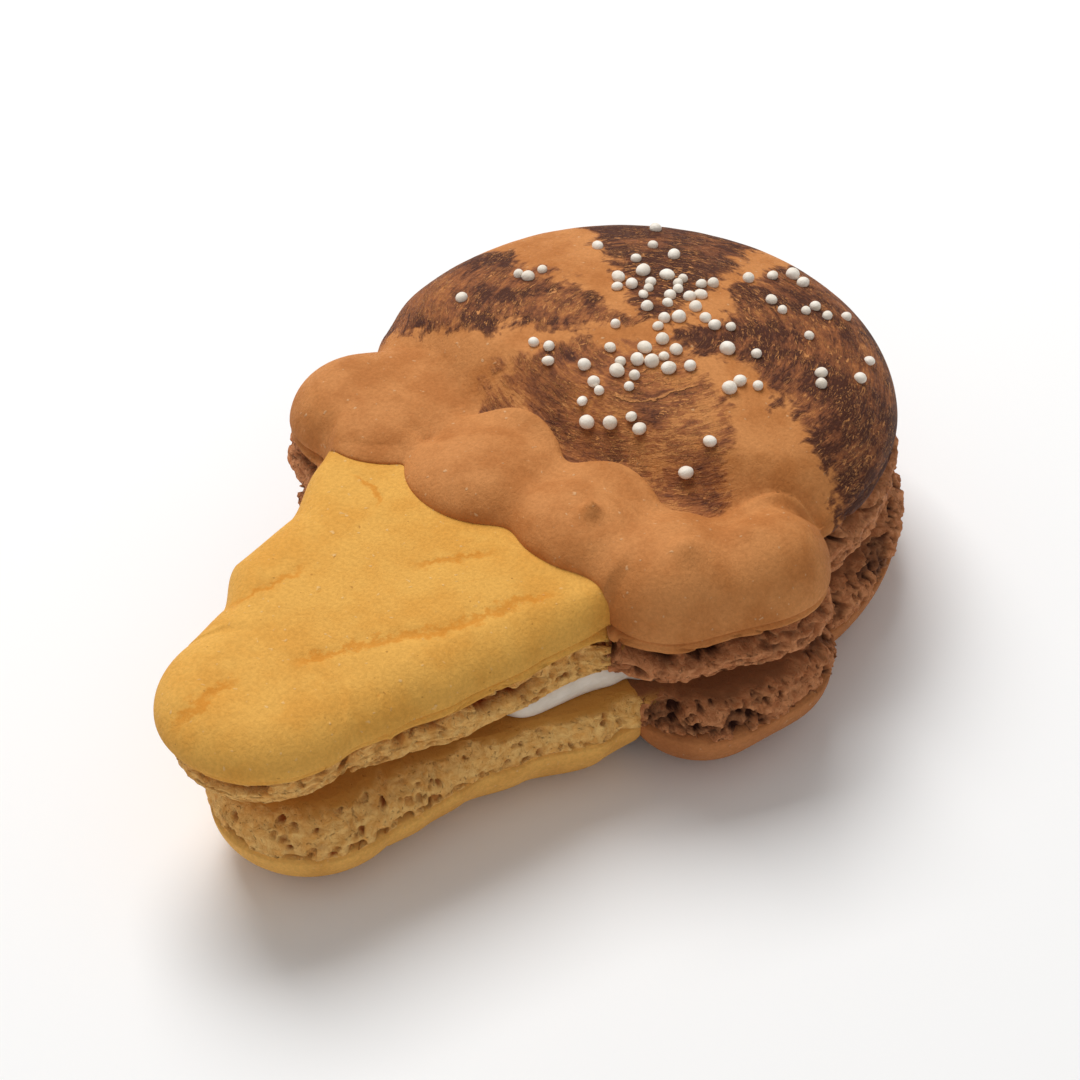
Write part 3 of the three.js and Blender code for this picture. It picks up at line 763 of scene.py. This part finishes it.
def brush_chocolate(tree, mm, colour, height, rough):
    """Chocolate laid on thin by a dry brush. Round blotches, and long and short streaks along
    the arc, add up to how thick it lies, in three browns. The edges of each sweep are
    feathered, and short flecks and fine wandering lines of bare skin cross it. The cracks
    come on top."""
    stroke = carried(tree, "stroke", "Vector")
    inside, load, on_tops = carried_parts(tree, "brushed")
    long_streak = cloud(scaled(stroke, (0.62, 0.16, 0.16)), 1.0, 2.5, 0.55, 1.6)
    short_streak = cloud(scaled(stroke, (1.7, 0.6, 0.6)), 1.0, 2.5, 0.6, 1.8)
    ragged = cloud(scaled(stroke, (0.9, 0.3, 0.3)), 1.0, 1.5, 0.5, 1.0)
    dab = cloud(mm, 1.1, 4.0, 0.65, 1.2)
    blotch = cloud(mm, 0.36, 5.0, 0.62, 0.5)
    for mark, far in ((short_streak, 0.1), (ragged, 0.5), (blotch, 1.6)):
        inside = inside + span(mark, 0.25, 0.75, -far, far)
    cover = span(inside, -0.9, 1.1) * span(on_tops, 0.0, 0.25, 1.0, 0.0)
    thick = load + span(cloud(mm, 0.16, 2.0, 0.5), 0.35, 0.65, -0.06, 0.06)
    for mark, share in ((long_streak, 0.36), (short_streak, 0.24), (dab, 0.24), (blotch, 0.34)):
        thick = thick + mark * share
    for low, high, shade in (
        (0.43, 0.52, CHOCOLATE_THIN), (0.51, 0.61, CHOCOLATE), (0.60, 0.69, CHOCOLATE_THICK),
    ):
        colour = blend(cover * span(thick, low, high), colour, shade)
    here_and_there = cloud(mm, 0.3, 2.0)
    fleck = cloud(scaled(stroke, (1.7, 0.75, 0.75)), 1.0, 4.0, 0.65, 2.2)
    fleck = span(fleck, 0.54, 0.62) * span(here_and_there, 0.35, 0.58, 0.15, 0.9)
    wander = cloud(scaled(stroke, (1.0, 0.4, 0.4)), 1.0, 4.0, 0.6, 1.4)
    line = span(abs(wander - 0.5), 0.0, 0.018, 0.8, 0.0) * span(here_and_there, 0.44, 0.6)
    line = maths("MAXIMUM", line, fleck) * cover
    colour = blend(line, colour, BARE_LINE)
    height = height + line * 0.06 + cover * short_streak * 0.16
    across, within, _ = carried_parts(tree, "cracks")
    across = across + span(cloud(mm, 1.6, 2.0), 0.2, 0.8, -1.0, 1.0)
    ends = span(within, 0.0, 1.0)
    lip = span(abs(across), 0.5, 1.2, 1.0, 0.0) * ends
    shadow = span(abs(across - 1.6), 0.3, 1.0, 1.0, 0.0) * ends
    colour = blend(lip * 0.7, colour, BARE_LINE)
    colour = blend(shadow * 0.6, colour, CHOCOLATE)
    return colour, height + lip * 0.12 - shadow * 0.12, rough - cover * 0.08


BROWN = tint(206, 138, 80)
BROWN_MOTTLE = tint(187, 118, 62)
# Of a foot: its sponge, crumb, hollows and face. The hollows' colour is partly a browner
# inside and partly painted shade, nearly black for the brown batter; the face's is its own
# golden brown, darkened as painted shade from the shell above.
BROWN_FOOT = (tint(222, 152, 103), tint(186, 116, 73), tint(58, 28, 18), tint(134, 84, 52))
YELLOW_FOOT = (tint(252, 202, 124), tint(234, 170, 90), tint(146, 66, 20), tint(196, 136, 62))

upper_scoop.data.materials.append(
    crust("brown_skin_brushed", BROWN, BROWN_MOTTLE, *BROWN_FOOT, YELLOW_FOOT[1], brush_chocolate)
)
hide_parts("upper_scoop")
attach(upper_scoop, "root")


# ------------------------------ nonpareils
# Tiny balls of sugar, a little uneven, scattered by the pinch over the dome before baking
# and sunk a third of their height into its skin.

BALL_RADIUS = (0.46, 0.70)
# Each pinch is a centre, a spread along and across, its turn, a number and a seed.
PINCHES = [
    (-0.4, 20.4, 3.6, 2.2, -0.9, 18, 1343),
    (3.4, 15.2, 4.0, 2.4, 0.5, 11, 2265),
    (2.4, 8.6, 2.8, 2.4, 0.6, 12, 3711),
    (-5.0, 6.8, 1.3, 0.9, -0.3, 3, 4672),
    (5.6, 3.6, 2.2, 0.7, 0.3, 4, 5808),
    (13.7, 5.0, 1.2, 0.8, 1.6, 2, 6653),
    (4.0, 31.0, 3.5, 1.6, 1.7, 4, 7018),
    (10.2, 27.6, 3.4, 2.2, 0.8, 7, 8132),
    (16.8, 25.5, 3.6, 2.0, 1.7, 4, 9796),
    (12.4, 14.5, 2.4, 1.0, 1.2, 3, 10454),
    (-15.0, 14.5, 3.4, 2.4, 0.4, 4, 11605),
    (-8.0, 24.5, 5.4, 3.0, 1.9, 9, 12682),
]
EDGE_CLEARANCE = 2.5        # they keep this far from the scoop's edge
BALL_LIFT = 0.35            # their middles are this share of a radius above the skin
BALL_COLUMNS = 16
BALL_ROWS = 9


def draw(n):
    """Repeatable draw in 0 to 1 for a whole number: the tail of a large sine."""
    value = math.sin(n * 12.9898 + 78.233) * 43758.5453
    return value - math.floor(value)


def scatter():
    """The nonpareils' x, y, radius and flattening. Each pinch spreads in a bell round its
    centre, and a draw that falls on another ball, or too near the edge, is passed over."""
    placed = []
    for cx, cy, spread_along, spread_across, pinch_turn, count, first_seed in PINCHES:
        found = 0
        for n in range(400):
            if found == count:
                break
            seed = first_seed + 4 * n
            reach = math.sqrt(-1.2 * math.log(1 - 0.96 * draw(seed)))
            turn = 2 * math.pi * draw(seed + 1)
            along = spread_along * reach * math.cos(turn)
            across = spread_across * reach * math.sin(turn)
            x = cx + along * math.cos(pinch_turn) - across * math.sin(pinch_turn)
            y = cy + along * math.sin(pinch_turn) + across * math.cos(pinch_turn)
            r = BALL_RADIUS[0] + (BALL_RADIUS[1] - BALL_RADIUS[0]) * draw(seed + 2) ** 1.5
            on_top = inside_scoop(x, y, UPPER) > EDGE_CLEARANCE and pad_height(x, y) < 0.05
            if on_top and all(math.hypot(s[0] - x, s[1] - y) > 0.98 * (s[2] + r) for s in placed):
                placed.append((x, y, r, 0.8 + 0.2 * draw(seed + 3)))
                found += 1
    return np.array(placed)


balls = scatter()
ball_x, ball_y, ball_r, ball_flat = balls[:, :, None, None].transpose(1, 0, 2, 3)
ball_z = scoop_height(ball_x, ball_y) + BALL_LIFT * ball_r
ball_turn = 5 * ball_x      # each lies its own way round
around = np.linspace(0, 2 * np.pi, BALL_COLUMNS, endpoint=False)
down = np.linspace(0, np.pi, BALL_ROWS + 1)[1:-1, None]
local_x = ball_r * (1.8 - 0.8 * ball_flat) * np.sin(down) * np.cos(around)
local_y = ball_r * np.sin(down) * np.sin(around)
ball_rings = np.stack([
    ball_x + local_x * np.cos(ball_turn) - local_y * np.sin(ball_turn),
    ball_y + local_x * np.sin(ball_turn) + local_y * np.cos(ball_turn),
    ball_z + ball_r * ball_flat * np.cos(down) * np.ones_like(around),
], -1)
ball_rings = ball_rings + 0.03 * noise(ball_rings, 0.7, 41)[..., None]
ball_tops, ball_bottoms = (
    np.stack([ball_x, ball_y, ball_z + side * ball_r * ball_flat], -1)[:, 0] for side in (1, -1)
)
ball_points = np.concatenate([ball_tops, ball_rings.reshape(len(balls), -1, 3), ball_bottoms], 1)

one_ball = ring_faces([BALL_COLUMNS] * (BALL_ROWS - 1))
ball_faces = [
    [corner + start for corner in face]
    for start in range(0, ball_points[..., 0].size, ball_points.shape[1]) for face in one_ball
]
nonpareils = smooth_piece("nonpareils", ball_points.reshape(-1, 3), ball_faces)


def sugar(name):
    """Matt white sugar with a warm cast and a faintly uneven coat."""
    material, tree, mm = begin(name)
    colour = blend(span(cloud(mm, 0.8, 2.0), 0.3, 0.7), tint(246, 238, 226), tint(232, 220, 203))
    constants = {"Roughness": 0.55, "Specular IOR Level": 0.35}
    coat(tree, cloud(mm, 3.0, 2.0), 0.00006, {"Base Color": colour, **constants})
    return material


nonpareils.data.materials.append(sugar("white_sugar"))
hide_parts("upper_scoop")
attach(nonpareils, "root")


# ------------------------------ upper cone shell
# The wafer cone: the same almond batter coloured yellow, piped first and spread to a point,
# so that it runs a little way under the scoop's lobes. A spatula left shallow grooves.

UNDER_LOBES = 0.3           # how far the cone's batter runs in under the scoop's
FACE_OFFSET = 0.03          # its flat faces lie this far inside the scoop's
CONE_CENTRE = (1.0, -21.0)
CONE_COLUMNS = 800
TIP_UNDERCUT = 2.0          # the foot draws in under the tip
CLOSED = 0.16               # and has this much fewer hollows than the scoop's
# Grooves: points along each, its width and its depth.
GROOVES = [
    ([(1.2, -34.2), (2.7, -31.0), (5.0, -27.3), (8.1, -23.2), (10.9, -16.1), (12.7, -13.0)], 0.9, 0.2),
    ([(-2.0, -45.0), (-1.9, -43.3), (-1.6, -40.7), (-1.1, -37.7)], 1.1, 0.24),
    ([(0.8, -18.7), (2.9, -15.9), (5.6, -12.4)], 0.7, 0.1),
    ([(-8.5, -31.8), (-7.2, -28.3), (-6.0, -24.0)], 0.8, 0.12),
    ([(-11.8, -12.4), (-10.4, -12.5), (-8.9, -12.7), (-7.4, -13.4), (-6.4, -14.8)], 0.4, 0.22),
]
# Pinholes: place and radius.
PINHOLES = [(10.5, -32.5, 0.22), (8.7, -31.7, 0.14), (15.0, -22.9, 0.14), (-3.0, -26.0, 0.12)]
PINHOLE_DEPTH = 0.3


def groove_depth(x, y):
    """Depth of the spatula's grooves in mm: each a bell across its line, eased at its ends."""
    points = np.stack([x, y, np.zeros_like(x)], -1)
    wander = 0.35 * noise(points, 2.5, 33) + 0.2 * noise(points, 0.9, 34)
    depth = np.zeros(np.shape(x))
    for line, width, deep in GROOVES:
        along, across, length = line_axes(x, y, line)
        ends = ease(np.minimum(along, length - along), -0.5, 1.5)
        depth = np.maximum(depth, deep * ends * np.exp(-(((across + wander) / width) ** 2)))
    return depth * (0.75 + 0.5 * noise(points, 1.4, 35))


def cone_skin(x, y):
    """The cone's height with its grooves, pinholes and slow swells."""
    z = cone_height(x, y) - groove_depth(x, y)
    for px, py, radius in PINHOLES:
        z = z - PINHOLE_DEPTH * np.exp(-((x - px) ** 2 + (y - py) ** 2) / radius ** 2)
    return z + skin_swell(x, y) * ease(inside_cone(x, y, UPPER), 0, 2)


def inside_yellow(x, y, plan):
    """Distance inside the cone outside the scoop, with the part that runs in under it."""
    return np.minimum(inside_cone(x, y, plan), UNDER_LOBES - inside_brown(x, y, plan))


def cone_foot(share, wall, outward):
    """The yellow batter rose more evenly, with few hollows, and draws in under the tip."""
    out, hollow, foot = upper_foot(share, wall, outward, CLOSED)
    return out - TIP_UNDERCUT * ease(-wall[..., 1], 24, 42) * share, hollow, foot


upper_cone = upper_shell(
    "upper_cone_shell", -1, inside_yellow, inside_brown, CONE_CENTRE, CONE_COLUMNS, cone_skin,
    skin_shares(inner=70, outer=20, width=0.22), UPPER_FACE_Z + FACE_OFFSET, cone_foot,
    grooves=lambda ring: marks(ring, GROOVES),
)

YELLOW = tint(229, 172, 82)
YELLOW_MOTTLE = tint(222, 160, 70)
GROOVE_TINT = tint(204, 126, 30)
SPECK_TINT = tint(150, 96, 40)


def warm_grooves(tree, mm, colour, height, rough):
    """The grooves are a warmer, deeper orange than the skin around them, ragged at their
    edges, and a few faint brown specks lie about."""
    across, within, _ = carried_parts(tree, "grooves")
    aside = abs(across + span(cloud(mm, 0.9, 4.0, 0.65), 0.2, 0.8, -0.9, 0.9))
    deep = span(aside, 0.1, 0.9, 0.62, 0.0) * span(within, -0.5, 2.0)
    specks = span(cloud(mm, 2.2, 0.0), 0.12, 0.18, 0.5, 0.0)
    return blend(specks, blend(deep, colour, GROOVE_TINT), SPECK_TINT), height, rough


upper_cone.data.materials.append(
    crust("yellow_skin", YELLOW, YELLOW_MOTTLE, *YELLOW_FOOT, BROWN_FOOT[1], warm_grooves)
)
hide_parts("upper_cone")
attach(upper_cone, "root")


# ------------------------------ lower shells
# A second scoop and cone, piped separately and a little differently, turned over so that
# their skins are underneath. Their feet open upwards, and their flat faces take the filling.

LOWER_FACE_Z = -6.1         # flat top
LOWER_RIM_Z = -9.6          # where the foot meets the skin
LOWER_TIP_DIP = 0.8         # and how much lower that is under the tip
LOWER_BOTTOM_Z = -15.7
LOWER_ROLL = 8.0
LOWER = dict(
    scoop=dict(x=0.0, y=12.1, side=26.2, back=27.6, front=17.5),
    lobes=[
        (-18.5, -1.5, 7.6, 7.6), (-12.0, -3.6, 6.3, 6.3), (-1.5, -4.4, 7.2, 6.6),
        (10.0, -4.0, 6.6, 6.0), (21.0, -3.1, 7.2, 7.4), (22.8, 2.4, 6.8, 7.2),
    ],
    creases=(2.4, 2.4, 2.4, 2.4, 2.4),
    tip=(2.2, -33.8, 8.7),
    sides=[
        (-43.0, 8.7, 8.7), (-33.8, 8.7, 8.7), (-29.6, 9.1, 10.2), (-25.3, 10.7, 11.5),
        (-20.0, 12.9, 14.5), (-14.2, 15.9, 18.6), (-8.0, 17.2, 20.3),
    ],
)
LOWER_FOOT_SHARES = np.linspace(0, 1, 50) ** 1.4    # closer together at the top


def lower_rim(y):
    """Height of the lower skin's rim: it dips under the tip."""
    return LOWER_RIM_Z - LOWER_TIP_DIP * ease(-y, 20, 34)


def moved(wall, outward, out):
    """Points of the wall moved out along the rays."""
    return np.concatenate([wall[..., :2] + outward * out[..., None], wall[..., 2:]], -1)


# Plain wall of the lower foot, and the slope under its face: shares of the way up from the
# skin, and how far the wall stands out or the slope leans in at each.
LOWER_WALL = ([0.0, 0.03, 0.05, 0.08, 0.18, 0.45, 1.0], [0.0, -0.25, -0.35, -0.05, 0.25, 0.1, 0.05])
LOWER_SLOPE = ([0.45, 0.7, 0.85, 0.95, 1.0], [0.0, 0.35, 0.85, 1.4, 1.9])
STEEP = 0.85                # how much of the slope each has
ROW_DEPTH = 1.7             # of the row of big pores
CAVE_DEPTH = 0.6
FOLD_DEPTH = 0.5


def lower_foot(share, wall, outward, steep=STEEP):
    """How far the lower foot stands out, from its flat face down. The face rounds over into
    pale sponge with small pores, in a slope that is steep times the plain one, and longer
    under the tip. Below come a row of big torn pores, and a crease over the skin's fine
    ledge."""
    up = 1 - share
    steep = steep + STEEP * ease(-wall[..., 1], 22, 32)
    profile = np.interp(up, *LOWER_WALL) - steep * np.interp(up, *LOWER_SLOPE)
    place = moved(wall, outward, profile)
    ragged = up + 0.05 * noise(place, 2.4, 51) + 0.05 * noise(place, 0.8, 52)
    on_face = np.maximum(ease(ragged, 0.84, 0.97), ease(up, 0.96, 1))
    off_skin = ease(up, 0.05, 0.1)
    sponge = off_skin * (1 - on_face)
    row = ease(up, 0.06, 0.1) * ease(-up - 0.07 * noise(place, 1.5, 62), -0.34, -0.24)
    row = ease(noise(place, (1.2, 1.2, 6.0), 60) + 0.5 * noise(place, 0.6, 64), 0.0, 0.25) * row
    small = ease(pores(bend(place, 0.5, 0.15, 91), 0.9, 70, 0.35), 0.05, 0.35) * sponge
    torn = crags(place, 1.4, 53) * sponge
    lumps = (0.16 * noise(place, 1.1, 57) + 0.06 * noise(place, 0.45, 58)) * sponge
    # hollow: where the sponge takes its hollow colour, a browner inside with painted shade in its big pores,
    # small pores and torn crags.
    hollow = np.clip(1.2 * row + 0.8 * small + 1.1 * (torn - 0.5), 0, 1)
    out = profile - ROW_DEPTH * row - PIT_DEPTH * (small + torn) + lumps
    return out, hollow, off_skin + on_face


def lower_brown_foot(share, wall, outward):
    """The brown batter rose more wildly: its slope is longer away from the cone, and torn by
    crags and caves."""
    off_cone = ease(-inside_cone(wall[..., 0], wall[..., 1], LOWER), 0, 4)
    out, hollow, foot = lower_foot(share, wall, outward, STEEP + STEEP * off_cone)
    sponge = np.minimum(foot, 2 - foot)
    place = moved(wall, outward, out)
    caves = noise(place, (1.6, 1.6, 1.0), 61) + 0.6 * noise(place, 0.7, 62)
    caves = ease(caves, 0.05, 0.35) * sponge
    folds = crags(place, (1.1, 1.1, 0.9), 63) * sponge
    holes = ease(pores(bend(place, 0.5, 0.2, 92), 0.75, 65, 0.45), 0.05, 0.35) * sponge
    out = out - CAVE_DEPTH * caves - FOLD_DEPTH * folds - PIT_DEPTH * (holes - sponge)
    # Caves, folds and holes add to the hollow colour, a browner inside with painted shade.
    return out, np.clip(hollow + 0.75 * caves + 0.8 * (folds - 0.4) + 0.8 * holes, 0, 1), foot


def lower_shell(name, side, plan_inside, depth_inside, other_inside, centre, face_z, columns, relief):
    """Flat face, foot and skin of a lower shell, from the top down."""

    def height(x, y):
        rim = lower_rim(y)
        return rim + (LOWER_BOTTOM_Z - rim) * roll(depth_inside(x, y, LOWER) / LOWER_ROLL)

    edge, outward = outline(lambda x, y: plan_inside(x, y, LOWER), centre, columns)
    foot, values = foot_rings(
        edge, outward, LOWER, side, LOWER_FOOT_SHARES, face_z, lower_rim(edge[:, 1]), relief,
    )
    face = face_rings(foot[0], (*centre, face_z))
    skin = skin_rings(edge, centre, skin_shares(inner=24, outer=20, width=0.4)[:-1], height)
    values = {key: rows[::-1] for key, rows in values.items()}
    rings, values = joined_parts(skin, foot[::-1], face, values, other_inside, LOWER)
    return closed_rings(
        name,
        rings[::-1],
        [(*centre, face_z), (*centre, LOWER_BOTTOM_Z)],
        {key: rows[::-1] for key, rows in values.items()},
    )


# Colours of their skins, plain and mottled.
BROWN_BELOW = (tint(190, 124, 74), tint(174, 110, 64))
YELLOW_BELOW = (tint(240, 182, 96), tint(226, 166, 84))

lower_scoop = lower_shell(
    "lower_scoop_shell", 1, inside_brown, inside_brown, inside_cone, SCOOP_CENTRE, LOWER_FACE_Z, 880,
    lower_brown_foot,
)
lower_cone = lower_shell(
    "lower_cone_shell", -1, inside_yellow, inside_cone, inside_brown, CONE_CENTRE,
    LOWER_FACE_Z - FACE_OFFSET, 760, lower_foot,
)
lower_scoop.data.materials.append(
    crust("brown_skin", *BROWN_BELOW, *BROWN_FOOT, YELLOW_FOOT[1], None)
)
lower_cone.data.materials.append(
    crust("yellow_skin_below", *YELLOW_BELOW, *YELLOW_FOOT, BROWN_FOOT[1], None)
)
for piece, node_name, slot in (
    (lower_scoop, "lower_scoop", "lower_scoop_shell"), (lower_cone, "lower_cone", "lower_cone_shell"),
):
    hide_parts(node_name)
    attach(piece, "root")


# ------------------------------ filling
# Pale buttercream, spread thin between the two flat faces and pressed out to a smooth bead
# that shows along the right shoulder of the cone.

FILLING_INSET = 3.2         # set back from the edge of the shells
FILLING_TIP_INSET = 4.4     # and by this much more under the tip
# But nearly flush along the shoulder: middle, half length, half width and turn of that
# stretch, and the inset there.
SHOWN = dict(x=14.9, y=-15.8, along=7.6, across=5.0, turn=1.0, inset=0.4)
FILLING_CENTRE = (0.0, -4.0)
FILLING_BULGE = 0.45
FILLING_OVERLAP = 0.06      # it clings to both faces


def filling_inset(x, y):
    """How far the filling is set back: less in a flat-topped bell along the shoulder, and
    more under the tip."""
    ux, uy = math.cos(SHOWN["turn"]), math.sin(SHOWN["turn"])
    along = ((x - SHOWN["x"]) * ux + (y - SHOWN["y"]) * uy) / SHOWN["along"]
    across = ((y - SHOWN["y"]) * ux - (x - SHOWN["x"]) * uy) / SHOWN["across"]
    shown = np.exp(-(along ** 4) - across ** 2)
    return FILLING_INSET + (SHOWN["inset"] - FILLING_INSET) * shown + FILLING_TIP_INSET * ease(-y, 18, 32)


def inside_shells(x, y):
    """Distance inside both shells."""
    return np.minimum(inside_joined(x, y, UPPER), inside_joined(x, y, LOWER))


filling_edge, filling_outward = outline(inside_shells, FILLING_CENTRE, 480)
filling_edge = filling_edge - filling_outward * filling_inset(*filling_edge.T)[:, None]
filling_top = UPPER_FACE_Z + FILLING_OVERLAP
filling_bottom = LOWER_FACE_Z - FILLING_OVERLAP
filling_rows = []
for share in np.linspace(0, 1, 17):
    bulge = FILLING_BULGE * math.sin(math.pi * share) ** 0.7
    level = filling_top + (filling_bottom - filling_top) * share
    row = np.column_stack([filling_edge + filling_outward * bulge, np.full(len(filling_edge), level)])
    row[:, :2] += filling_outward * (0.05 * noise(row, (3.0, 3.0, 1.5), 81))[:, None]
    filling_rows.append(row)
filling_above = face_rings(filling_rows[0], (*FILLING_CENTRE, filling_top))[::-1]
filling_below = face_rings(filling_rows[-1], (*FILLING_CENTRE, filling_bottom))
filling = closed_rings(
    "filling_bead",
    filling_above + filling_rows + filling_below,
    [(*FILLING_CENTRE, filling_top), (*FILLING_CENTRE, filling_bottom)],
    {},
)


def buttercream(name):
    """Smooth pale cream with a soft sheen and faint drag marks."""
    material, tree, mm = begin(name)
    colour = blend(span(cloud(mm, 0.4, 3.0), 0.3, 0.7), tint(232, 222, 208), tint(218, 206, 190))
    constants = {
        "Roughness": 0.42, "Subsurface Weight": 0.15, "Subsurface Radius": (0.001, 0.0008, 0.0006),
    }
    coat(tree, cloud(mm, 1.2, 3.0), 0.0001, {"Base Color": colour, **constants})
    return material


filling.data.materials.append(buttercream("buttercream"))
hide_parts("filling")
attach(filling, "root")


# ------------------------------ studio
# A plain pale floor, a large soft key light from the upper left behind, a weak fill and an
# even sky. The camera looks down the cone's right side from above its tip.

CAMERA_TURN = math.radians(39.0)
CAMERA_HEIGHT = math.radians(39.5)
CAMERA_DISTANCE = 0.250     # metres
CAMERA_SENSOR = 36          # mm
IMAGE_SIZE = 1080           # pixels, as are the next two
FOCAL_LENGTH = 2750
IMAGE_SHIFT = -50
FLOOR_HALF = 2              # metres

floor_mesh = bpy.data.meshes.new("floor")
floor_corners = [(x * FLOOR_HALF, y * FLOOR_HALF, 0) for x, y in ((-1, -1), (1, -1), (1, 1), (-1, 1))]
floor_mesh.from_pydata(floor_corners, [], [(0, 1, 2, 3)])
floor = bpy.data.objects.new("floor", floor_mesh)
bpy.context.scene.collection.objects.link(floor)
floor_paint = bpy.data.materials.new("floor_paint")
floor_paint.use_nodes = True
plug(floor_paint.node_tree.nodes["Principled BSDF"], {"Base Color": (0.9, 0.9, 0.9, 1), "Roughness": 0.9})
floor.data.materials.append(floor_paint)

sky = bpy.data.worlds.new("sky")
sky.use_nodes = True
plug(sky.node_tree.nodes["Background"], {"Color": (1.0, 0.99, 0.97, 1), "Strength": 0.38})
bpy.context.scene.world = sky
bpy.context.scene.view_settings.view_transform = "Standard"


def soft_light(name, place, size, power):
    """A square area light that faces the macaron."""
    lamp = bpy.data.lights.new(name, "AREA")
    lamp.size = size
    lamp.energy = power
    light = bpy.data.objects.new(name, lamp)
    light.location = place
    aim = np.array([0, 0, 0.01]) - np.array(place)
    light.rotation_euler = (
        math.atan2(math.hypot(aim[0], aim[1]), -aim[2]), 0, math.atan2(aim[1], aim[0]) - math.pi / 2,
    )
    bpy.context.scene.collection.objects.link(light)


soft_light("key", (-0.36, 0.20, 0.66), size=0.45, power=5.4)
soft_light("fill", (0.5, -0.5, 0.45), size=0.6, power=0.5)

camera_data = bpy.data.cameras.new("camera")
camera_data.lens = CAMERA_SENSOR * FOCAL_LENGTH / IMAGE_SIZE
camera_data.sensor_width = CAMERA_SENSOR
camera_data.shift_y = IMAGE_SHIFT / IMAGE_SIZE
camera_data.clip_start = 0.01
camera = bpy.data.objects.new("camera", camera_data)
camera.location = DRAWING_ZERO / 1000 + CAMERA_DISTANCE * np.array([
    math.sin(CAMERA_TURN) * math.cos(CAMERA_HEIGHT),
    -math.cos(CAMERA_TURN) * math.cos(CAMERA_HEIGHT),
    math.sin(CAMERA_HEIGHT),
])
camera.rotation_euler = (math.pi / 2 - CAMERA_HEIGHT, 0, CAMERA_TURN)
bpy.context.scene.collection.objects.link(camera)
bpy.context.scene.camera = camera
